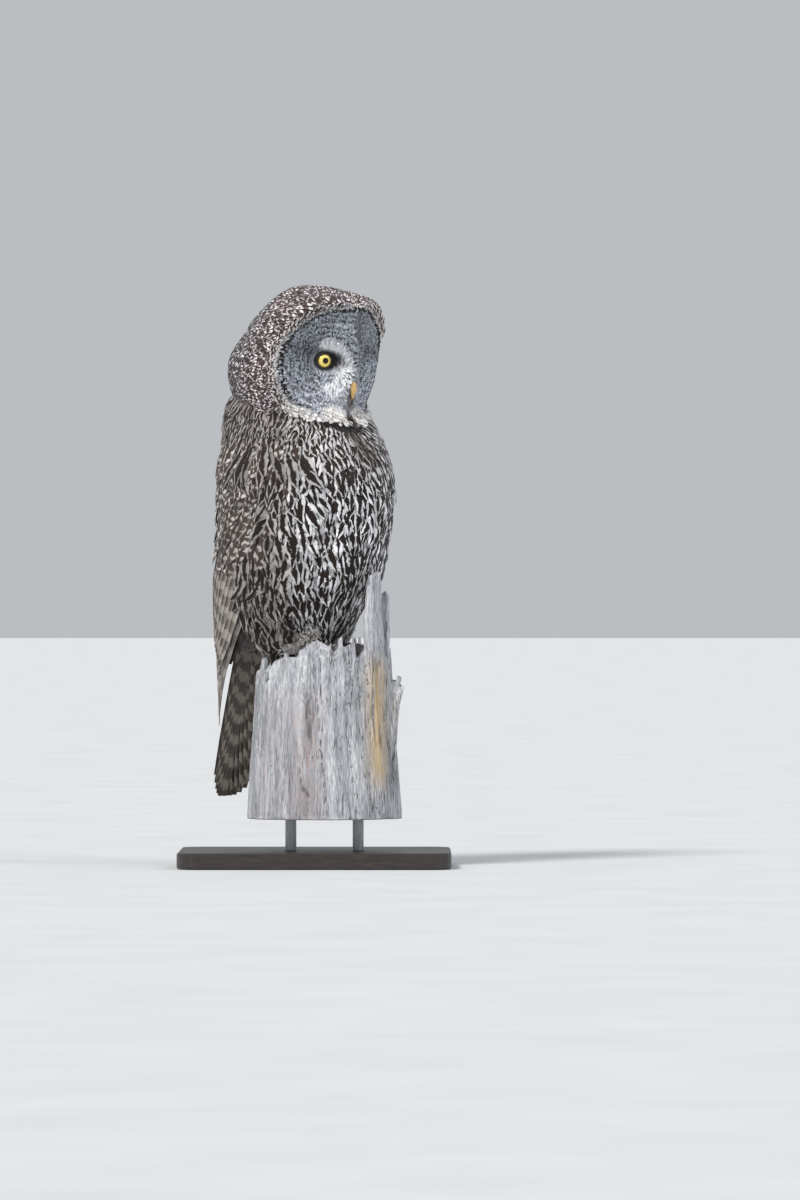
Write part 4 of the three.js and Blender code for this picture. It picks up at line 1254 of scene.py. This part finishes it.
def leg_down():
    """Short pale down on the legs and toes."""
    draw = np.random.default_rng(101)
    roots, outs, lies = [], [], []
    for side in (-1, 1):
        count = 700
        turn = draw.uniform(0, 2 * math.pi, count)
        z = draw.uniform(266, 306, count)
        radius = np.interp(z, *LEG_ROWS[::-1].T) - 1
        roots.append(leg_ring(side, turn, radius, z))
        outs.append(body.turn(columns(np.cos(turn), np.sin(turn), 0.2)))
        lies.append(np.tile(-UP, (count, 1)))
        for bearing, length in TOES:
            count = 260
            reach = draw.uniform(0, length + 1, count)
            turn = draw.uniform(-0.4, math.pi + 0.4, count)
            radius = np.interp(reach, length * TOE_SHARES, TOE_RADII) - 1
            up = np.interp(reach, [0, length * 0.75, length], [271, 270, 268.5])
            ahead, aside = toe_directions(side, bearing)
            out = np.cos(turn)[:, None] * aside + np.sin(turn)[:, None] * UP
            roots.append(toe_line(side, bearing, reach, up) + out * radius[:, None])
            outs.append(out)
            lies.append(np.tile(ahead, (count, 1)) + 0.15 * draw.normal(size=(count, 3)))
    roots, outs, lies = (np.vstack(rows) for rows in (roots, outs, lies))
    return straight_tufts("down_feet", roots, outs, lies, 8.5, 1.7, draw, srgb(190, 186, 182), "leg_down")


def straight_tufts(name, roots, outs, lies, length, half, draw, ground, slot):
    """Small tufts that lean from the surface along their lie."""
    t = np.linspace(0, 1, 4)[None, :, None]
    length = length * draw.uniform(0.8, 1.2, len(roots))
    outs = unit(outs)
    flow = unit(lies - along(lies, outs) * outs)
    middles = roots[:, None] + flow[:, None] * length[:, None, None] * t
    middles = middles + outs[:, None] * (-0.8 + 2.4 * t ** 1.5)
    sides, outs = (np.repeat(way[:, None], t.size, axis=1) for way in (np.cross(outs, flow), outs))

    def paint(coat):
        return paints(coat, ground, srgb(110, 102, 98), 0.2, 0.35, 2, edge=0.4)

    coat = Coat(draw, roots, length, middles, sides, outs)
    return coat.build(name, half, paint, "soft", cup=0.3, ragged=0.2, slot=slot)


# The skin under the coat
def skin_parts():
    """Closed solids of the head, body, legs, toes, wings and tail's root, a little inside the coat."""
    turn = full_turn(72)
    opening = np.linspace(0.02, math.pi - 0.02, 64)
    direction = sphere(opening[:, None], turn)
    inset = lerp(1.2, 4.0, smooth(-direction[..., 0], -0.35, 0.1))
    parts = [loft(on_head(direction, -inset[..., None]))]
    angle = np.linspace(0, 360, 72, endpoint=False)
    heights = np.linspace(632, 268, 50)
    parts.append(loft([torso.at(angle, z, -8.5 - chin_room(torso.at(angle, z))) for z in heights]))
    for side in (-1, 1):
        parts.append(leg_solid(side, 2.0))
        parts += [toe_solid(side, bearing, length, 1.5) for bearing, length in TOES]
        angle = side * np.linspace(70, 172, 30)
        parts.append(loft([
            np.concatenate([wings.at(angle, z, -2.0), wings.at(angle[::-1], z, -16.0)])
            for z in np.linspace(512, 336, 24)
        ]))
    core = []
    for t in np.linspace(-0.02, 0.32, 6):
        thick, wide = np.interp(t, [0, 0.32], [14, 2.5]), np.interp(t, [0, 0.32], [34, 22])
        ring = body.turn(columns(np.cos(turn) * thick, np.sin(turn) * wide, 0))
        core.append(tail_middle(t, 0) + ring)
    parts.append(loft(core))
    return parts


def skin():
    """One closed surface under the coat, coloured like the feathers over it."""
    made = mesh_object("owl_skin", *joined(skin_parts()), SKIN)
    remeshed(made, 3.0, SKIN)
    points = read_points(made.data)
    f, l, u = head.parts(points)
    face, _ = face_colours(l, u)
    on_disc = smooth(f, 10, 25) * smooth(-disc_round(l, u), -1.05, -0.98) * smooth(points[:, 2], 520, 545)
    near_feet = smooth(-points[:, 2], -290, -275)[:, None]
    for key, away, foot, share in (
        ("Ground", srgb(120, 115, 112), srgb(175, 171, 167), 1),
        ("Mark", srgb(62, 56, 52), srgb(120, 114, 110), 0.7),
    ):
        colour = lerp(lerp(away, foot, near_feet), face * share, on_disc[:, None])
        colour_attribute(made.data, key, np.hstack([colour, np.ones((len(points), 1))]))
    uv_map(made.data, "OFBake", unwrap(points))
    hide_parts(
        "head", "neck", "torso", "leg_right", "leg_left", "foot_right", "foot_left",
        "wing_right", "wing_left", "tail",
    )
    return made


# Eyes, lids, bill and claws
def eye_material():
    n = Nodes("iris")
    reach = n.attribute("Reach", "Fac")
    grain = n.noise(n.place(), 1400.0, 3.0, 0.6)
    iris = n.ramp(reach + (grain - 0.5) * 0.05, [
        (0.0, srgb(232, 200, 84)), (0.48, srgb(244, 216, 104)), (0.7, srgb(254, 238, 142)),
        (0.86, srgb(238, 204, 84)), (0.97, srgb(120, 88, 34)),
    ])
    flecks = n.mix(n.between(grain, 0.5, 0.75, 0.0, 0.35), iris, srgb(255, 242, 170))
    colour = n.mix(n.between(reach, 0.405, 0.435), (0.004, 0.004, 0.004), flecks)
    colour = n.mix(n.between(reach, 0.95, 1.02), colour, srgb(26, 22, 20))
    return n.finish(colour, 0.06, Specular_IOR_Level=0.35)


def eye_frame(side):
    centre = head.at([EYE["forward"], side * EYE["side"], EYE["up"]])
    return Frame(centre, HEAD["heading"] - side * EYE["splay"], HEAD["pitch"] * 0.4)


def eye(side, name, material):
    """A ball with a low bulge over its iris. Reach is 1 at the iris's rim."""
    opening = np.linspace(0, math.pi, 64)[:, None]
    turn = full_turn(96)[None, :]
    size = EYE["radius"] + 0.5 * smooth(np.cos(opening), 0.64, 1)
    points = eye_frame(side).at(sphere(opening, turn) * size[..., None]).reshape(-1, 3)
    made = mesh_object(f"eyeball_{name}", points, loft_faces(64, 96), material)
    reach = np.where(opening < math.pi / 2, np.sin(opening) * EYE["radius"] / EYE["iris"], 2)
    number_attribute(made.data, "Reach", np.repeat(reach, turn.size))
    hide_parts(f"eye_{name}")
    return made


def lid_material():
    stops = [(0.3, srgb(20, 18, 18)), (0.7, srgb(44, 40, 40))]
    return grained("lids", (1, 1, 1), (1800.0, 3.0), stops, 0.55, (0.4, 0.0003))


def lids(side, name, material):
    """A soft ring round the eye, thicker above than below."""
    opening = EYE["radius"] * 0.84
    turn = full_turn(72)[:, None]
    around = full_turn(14)[None, :]
    upper = np.maximum(0, np.sin(turn))
    lower = np.maximum(0, -np.sin(turn))
    thick = EYE["lid"] * (1 + 0.35 * upper - 0.15 * lower) * (1 + 0.06 * np.sin(9 * turn))
    reach = 1 + np.cos(around) * thick / opening
    points = eye_frame(side).at(columns(
        EYE["radius"] * 0.56 + 0.9 * upper + np.sin(around) * thick,
        np.cos(turn) * opening * reach,
        np.sin(turn) * (opening - 0.7 * upper) * reach,
    )).reshape(-1, 3)
    closed = loft_faces(turn.size + 1, around.size) % len(points)
    made = mesh_object(f"lids_{name}", points, closed, material)
    return made


def bill_material():
    n = Nodes("bill")
    grain = n.noise(n.place((1, 1, 0.35)), 700.0, 4.0, 0.6)
    colour = n.ramp(grain, [
        (0.25, srgb(146, 104, 62)), (0.5, srgb(204, 166, 104)), (0.75, srgb(232, 208, 160)),
    ])
    tip = n.attribute("Along", "Fac")
    colour = n.mix(n.between(tip, 0.82, 1.0, 0.0, 0.6), colour, srgb(96, 74, 50))
    return n.finish(colour, 0.38, n.bump(grain, 0.25, 0.0002), Coat_Weight=0.2, Coat_Roughness=0.3)


# Each half's share of the drop and of the size, how far back it is at its root and tip, and how far down
BILL_HALVES = {
    "bill_upper": {"drop": 1, "size": 1, "back": (0, 0), "down": 0},
    "bill_lower": {"drop": 0.74, "size": 0.72, "back": (3, 7), "down": 7},
}


def bill_half(own):
    """Points, faces and shares along it of one half of the bill."""
    steps = 30
    t = np.linspace(0, 1, steps)[:, None]
    around = full_turn(36)[None, :]
    bend = t * math.pi * 0.5
    forward = BILL["forward"] + BILL["reach"] * np.sin(bend * 1.35) - lerp(*own["back"], t)
    up = BILL["up"] - BILL["drop"] * own["drop"] * t - own["down"] * (1 - t)
    size = own["size"] * (1 - t**1.6) + 0.06
    ridge = 1 + 0.12 * np.maximum(0, np.cos(around)) ** 3
    side = np.sin(around) * BILL["width"] / 2 * size
    proud = np.cos(around) * BILL["depth"] / 2 * size * ridge
    rings = columns(forward + proud * np.cos(bend * 0.5), side, up + proud * np.sin(bend * 0.5) * 0.6)
    points, faces = loft(head.at(rings))
    reach = np.clip((np.arange(steps + 2) - 1) / (steps - 1), 0, 1)
    return points, faces, np.repeat(reach, around.size)


def bill():
    material = bill_material()
    for name, own in BILL_HALVES.items():
        points, faces, reach = bill_half(own)
        made = mesh_object(name + "_horn", points, faces, material)
        number_attribute(made.data, "Along", reach)
        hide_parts(name)


def bristles():
    """Stiff hair-like feathers over the bill's root."""
    draw = np.random.default_rng(111)
    count = 520
    side = np.where(draw.uniform(0, 1, count) < 0.5, -1.0, 1.0)
    l = side * draw.uniform(2.0, 11, count)
    u = draw.uniform(-20, 18, count)
    roots = on_face(l, u)
    _, outs = settle(roots, head_distance, 0)
    lies = head.turn(columns(0.25, 0.35 * side, -1)) + 0.15 * draw.normal(size=(count, 3))
    ground = lerp(srgb(96, 90, 88), srgb(205, 205, 208), smooth(np.abs(l), 3, 8)[:, None])
    return straight_tufts("bristles", roots, outs, lies, 11.0, 0.6, draw, ground, "plumage")


def claw_material():
    stops = [(0.3, srgb(22, 20, 20)), (0.75, srgb(52, 48, 46))]
    return grained(
        "claws", (1, 1, 3), (500.0, 3.0), stops, 0.3, (0.2, 0.0002), Coat_Weight=0.3, Coat_Roughness=0.2,
    )


def claws():
    """All eight talons as one mesh, each curved down from the end of its toe."""
    t = np.linspace(0, 1, 14)[:, None]
    turn = full_turn(20)[None, :]
    bend = t * CLAW["bend"]
    scale = CLAW["length"] / CLAW["bend"]
    radius = CLAW["radius"] * (1 - t) + 0.3
    reach = scale * np.sin(bend) + np.sin(turn) * radius * np.sin(bend)
    up = CLAW["up"] - scale * (1 - np.cos(bend)) * 0.55 + np.sin(turn) * radius * np.cos(bend)
    parts, names = [], []
    for side, name in SIDES:
        for index, (bearing, length) in enumerate(TOES):
            names.append(f"claw_{name}_{index + 1}")
            _, aside = toe_directions(side, bearing)
            line = toe_line(side, bearing, length - 2 + reach, up)
            parts.append(loft(line + aside * (np.cos(turn) * radius * 0.8)[..., None]))
    points, faces = joined(parts)
    points[:, 2] = np.maximum(points[:, 2], FOOT_LEVEL + 0.3)
    made = mesh_object("talons", points, faces, claw_material())
    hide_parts(*names)


# The snag: a fluted trunk with a broken top. Each splinter has its bearing in degrees, half width, heights of
# its foot and top, and the top's lean outward and slant.
SPLINTERS = [
    (-37, 18, 190, 366, 5, 4), (-17, 5, 205, 338, 5, -6), (-9, 13, 150, 236, 15, -3),
    (-15, 9, 128, 222, 19, 5), (-57, 9, 205, 262, -3, 8), (-73, 13, 205, 274, -4, 4),
    (-90, 12, 205, 279, -5, -5), (-107, 13, 205, 276, -5, 6), (-124, 9, 200, 262, -4, -6),
    (-139, 12, 180, 250, -3, -9), (-156, 11, 190, 242, -2, 6), (-174, 10, 190, 252, -4, -7),
    (10, 12, 200, 262, -4, -8), (28, 11, 205, 272, -5, 6), (50, 13, 200, 268, -5, -6),
    (72, 12, 200, 272, -6, 7), (94, 11, 200, 265, -5, -5), (114, 11, 195, 256, -6, 6),
]
SLIVERS = {"count": 46, "half": (1.6, 4.0), "foot": 225, "top": (262, 288), "lean": (-5, 4), "slant": (-5, 5)}
# Places across a splinter and outward, round its outline
SPLINTER_RING = np.array([
    (-1, -1), (-0.5, -1.1), (0, -1.15), (0.5, -1.1), (1, -1), (1.05, -0.2),
    (1, 0.6), (0.5, 0.9), (0, 1), (-0.5, 0.9), (-1, 0.6), (-1.05, -0.2),
])


def snag_share(z):
    """0 at the snag's foot and 1 at its top."""
    return (z - SNAG["bottom"]) / (FOOT_LEVEL - SNAG["bottom"])


def snag_radius(z):
    return lerp(SNAG["bottom_radius"], SNAG["top_radius"], snag_share(z))


def trunk():
    """Rings of the trunk, with flutes and slow lumps."""
    around = full_turn(220)
    rings = []
    for z in np.linspace(SNAG["bottom"], FOOT_LEVEL, 24):
        t = snag_share(z)
        flute = np.abs(np.sin(around * SNAG["flutes"] / 2 + 0.5 * np.sin(3 * around) + 0.2 * t))
        lump = 2.5 * np.sin(2 * around + 0.6) + 1.5 * np.sin(5 * around + 2 + t)
        reach = snag_radius(z) + lump - SNAG["flute_depth"] * (1 - flute) ** 2 * 2
        rings.append(columns(SNAG["x"] + np.cos(around) * reach, SNAG["y"] + np.sin(around) * reach, z))
    return rings


def splinter(bearing, half, foot, top, lean, slant):
    """Rings of one splinter of the snag's rim, from its foot to its top."""
    turn = math.radians(bearing)
    outward = np.array([math.cos(turn), math.sin(turn), 0])
    aside = np.array([-math.sin(turn), math.cos(turn), 0])
    across, proud = SPLINTER_RING.T[..., None]
    rings = []
    for t in np.linspace(0, 1, 12):
        z = lerp(foot, top, t)
        reach = max(snag_radius(z) - 5, SNAG["top_radius"] - 9) + lean * t * t
        wide = half * lerp(1, 0.72, t**3)
        deep = 6.5 * lerp(1, 0.5, t**2) * lerp(0.2, 1, smooth(t, 0, 0.3))
        ring = np.array([SNAG["x"], SNAG["y"], z]) + outward * (reach + deep * proud) + aside * wide * across
        rings.append(ring)
    rings[-1][:, 2] += slant * SPLINTER_RING[:, 0]
    return rings


def snag_parts():
    draw = np.random.default_rng(121)
    slivers = [
        (bearing, draw.uniform(*SLIVERS["half"]), SLIVERS["foot"], draw.uniform(*SLIVERS["top"]),
         draw.uniform(*SLIVERS["lean"]), draw.uniform(*SLIVERS["slant"]))
        for bearing in draw.uniform(-180, 180, SLIVERS["count"])
    ]
    return [loft(trunk())] + [loft(splinter(*row)) for row in SPLINTERS + slivers]


def wood_material():
    n = Nodes("weathered_wood")
    tall = n.place((1, 1, 0.07))
    fibre = n.noise(tall, 900.0, 5.0, 0.65)
    band = n.noise(tall, 160.0, 4.0, 0.6)
    plank = n.noise(tall, 45.0, 2.0)
    colour = n.ramp(fibre * 0.5 + band * 0.3 + plank * 0.2, [
        (0.35, srgb(84, 84, 88)), (0.45, srgb(146, 148, 153)), (0.53, srgb(190, 191, 196)),
        (0.63, srgb(236, 236, 238)),
    ])
    line = abs(n.noise(tall, 75.0, 3.0, 0.6) - 0.5)
    split = n.between(line, 0.01, 0.0) * n.between(n.noise(tall, 30.0, 1.0), 0.42, 0.56)
    for amount, tint in (
        (split * 0.8, srgb(70, 66, 64)),
        (n.attribute("Ochre", "Fac") * n.between(band, 0.36, 0.5), srgb(200, 172, 128)),
        (n.attribute("Rot", "Fac") * n.between(fibre, 0.46, 0.6), srgb(148, 108, 92)),
        (n.attribute("Crack", "Fac") * 0.4, srgb(58, 54, 52)),
    ):
        colour = n.mix(amount, colour, tint)
    relief = n.bump(fibre + band * 1.5 - split, 0.55, 0.0012)
    return n.finish(colour, 0.88, relief, Specular_IOR_Level=0.2)


def snag():
    """The trunk and its splinters as one surface, with fibres, splits and a crumbled rim."""
    material = wood_material()
    made = mesh_object("snag_wood", *joined(snag_parts()), material)
    remeshed(made, 1.7, material)
    points = read_points(made.data)
    out = read_vectors(made.data.vertex_normals, "vector")
    x, y, z = points.T
    around = np.arctan2(y - SNAG["y"], x - SNAG["x"])
    reach = np.hypot(x - SNAG["x"], y - SNAG["y"])
    spiral = around + 0.0009 * (z - 160)
    ring_x, ring_y = np.cos(spiral) * SNAG["top_radius"], np.sin(spiral) * SNAG["top_radius"]

    def grain(size, tall, seed):
        return value_noise(columns(ring_x / size, ring_y / size, z / tall), seed)

    fibre, coarse, split = grain(3.2, 60, 1), grain(12, 170, 2), grain(9, 190, 3)
    crack = 1 - smooth(np.abs(split - 0.5), 0.0, 0.024)
    crack = crack * smooth(value_noise(columns(x / 40, y / 40, z / 60), 4), 0.36, 0.56)
    level = smooth(np.abs(out[:, 2]), 0.5, 0.85)
    shift = 1.8 * (fibre - 0.5) + 4.6 * (coarse - 0.5) - 3.4 * crack
    shift = lerp(shift, value_noise(points / 9, 5) * 2.5 - 1.6, level)
    above_foot = smooth(z, SNAG["bottom"] + 0.5, SNAG["bottom"] + 3)
    shift = shift * above_foot * np.where(out[:, 2] < -0.7, 0.0, 1.0) - 0.9
    near_middle = 1 - smooth(reach, 60, 74)
    shift = shift * (1 - near_middle * level * smooth(z, 240, 250) * 0.75)
    moved = points + out * (shift * above_foot)[:, None]
    crumbled = lerp(0.5, 1.3, value_noise(columns(x / 7, y / 7, 0), 8))
    moved[:, 2] -= 26 * (smooth(-x, 36, 74) * smooth(z, 222, 262) * crumbled)
    write_points(made.data, moved)
    bearing = np.degrees(around)
    ochre = bump(bearing + 38, 12) * smooth(-z, -275, -235) * smooth(z, 80, 130)
    rot = (bump(bearing + 106, 13) + 0.6 * bump(bearing + 140, 8)) * smooth(-z, -235, -190)
    for key, values in (("Crack", crack * (1 - level)), ("Ochre", 0.85 * ochre), ("Rot", 0.7 * rot)):
        number_attribute(made.data, key, values)
    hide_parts("perch_snag")
    return made


# The display stand keeps its solids
def stand_wood_material():
    stops = [(0.3, srgb(34, 30, 28)), (0.55, srgb(50, 44, 41)), (0.8, srgb(68, 60, 55))]
    return grained(
        "stand_wood", (0.12, 1, 1), (380.0, 5.0, 0.6, 0.4), stops, 0.42, (0.15, 0.0004),
        Coat_Weight=0.15, Coat_Roughness=0.35,
    )


def steel_material():
    stops = [(0.3, srgb(128, 130, 133)), (0.7, srgb(168, 170, 173))]
    return grained("rod_steel", (1, 1, 0.03), (2200.0, 3.0), stops, 0.34, (0.12, 0.0001), Metallic=1.0)


def stand():
    for node, make in (
        ("stand_base", stand_wood_material),
        ("stand_rod_right", steel_material),
        ("stand_rod_left", steel_material),
    ):
        only_material(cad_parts[node], make())


# Camera, floor and light
def camera():
    data = bpy.data.cameras.new("camera")
    data.lens = CAMERA["lens"]
    data.sensor_width = 36
    data.clip_end = 100
    made = bpy.data.objects.new("camera", data)
    made.location = (CAMERA["x"] * MM, -CAMERA["away"] * MM, CAMERA["z"] * MM)
    made.rotation_euler = (math.radians(90), 0, 0)
    bpy.context.scene.collection.objects.link(made)
    bpy.context.scene.camera = made


def floor():
    n = Nodes("floor")
    grain = n.noise(n.place(), 6.0, 2.0)
    colour = n.ramp(grain, [(0.3, srgb(214, 215, 216)), (0.7, srgb(220, 221, 222))])
    n.finish(colour, 0.95)
    half = 60.0
    corners = [(x * half, y * half, 0) for x, y in ((-1, -1), (1, -1), (1, 1), (-1, 1))]
    mesh = bpy.data.meshes.new("floor")
    mesh.from_pydata(corners, [], [(0, 1, 2, 3)])
    mesh.materials.append(n.material)
    made = bpy.data.objects.new("floor", mesh)
    made.location.z = -0.0005
    bpy.context.scene.collection.objects.link(made)


def sun(name, towards, softness, strength, colour):
    data = bpy.data.lights.new(name, "SUN")
    data.angle = math.radians(softness)
    data.energy = strength
    data.color = colour
    made = bpy.data.objects.new(name, data)
    flat = math.hypot(towards[0], towards[1])
    made.rotation_euler = (math.atan2(flat, -towards[2]), 0, math.atan2(towards[1], towards[0]) - math.pi / 2)
    bpy.context.scene.collection.objects.link(made)


def lights():
    world = bpy.data.worlds.new("studio")
    bpy.context.scene.world = world
    world.use_nodes = True
    shade = world.node_tree.nodes["Background"]
    shade.inputs["Color"].default_value = (0.9, 0.93, 0.97, 1)
    shade.inputs["Strength"].default_value = 0.55
    sun("key", (0.55, 0.75, -0.9), 14, 2.3, (1.0, 0.98, 0.95))
    sun("fill", (-0.8, 0.5, -0.6), 30, 0.7, (0.94, 0.97, 1.0))
    bpy.context.scene.view_settings.view_transform = "Standard"


camera()
floor()
lights()
stand()
skin()
discs()
ruff()
crown()
breast()
throat()
mantle()
rump()
for side, name in SIDES:
    coverts(side, name)
    wing_vanes(side, name)
tail_vanes()
leg_down()
IRIS = eye_material()
LIDS = lid_material()
for side, name in SIDES:
    eye(side, name, IRIS)
    lids(side, name, LIDS)
bill()
bristles()
claws()
snag()
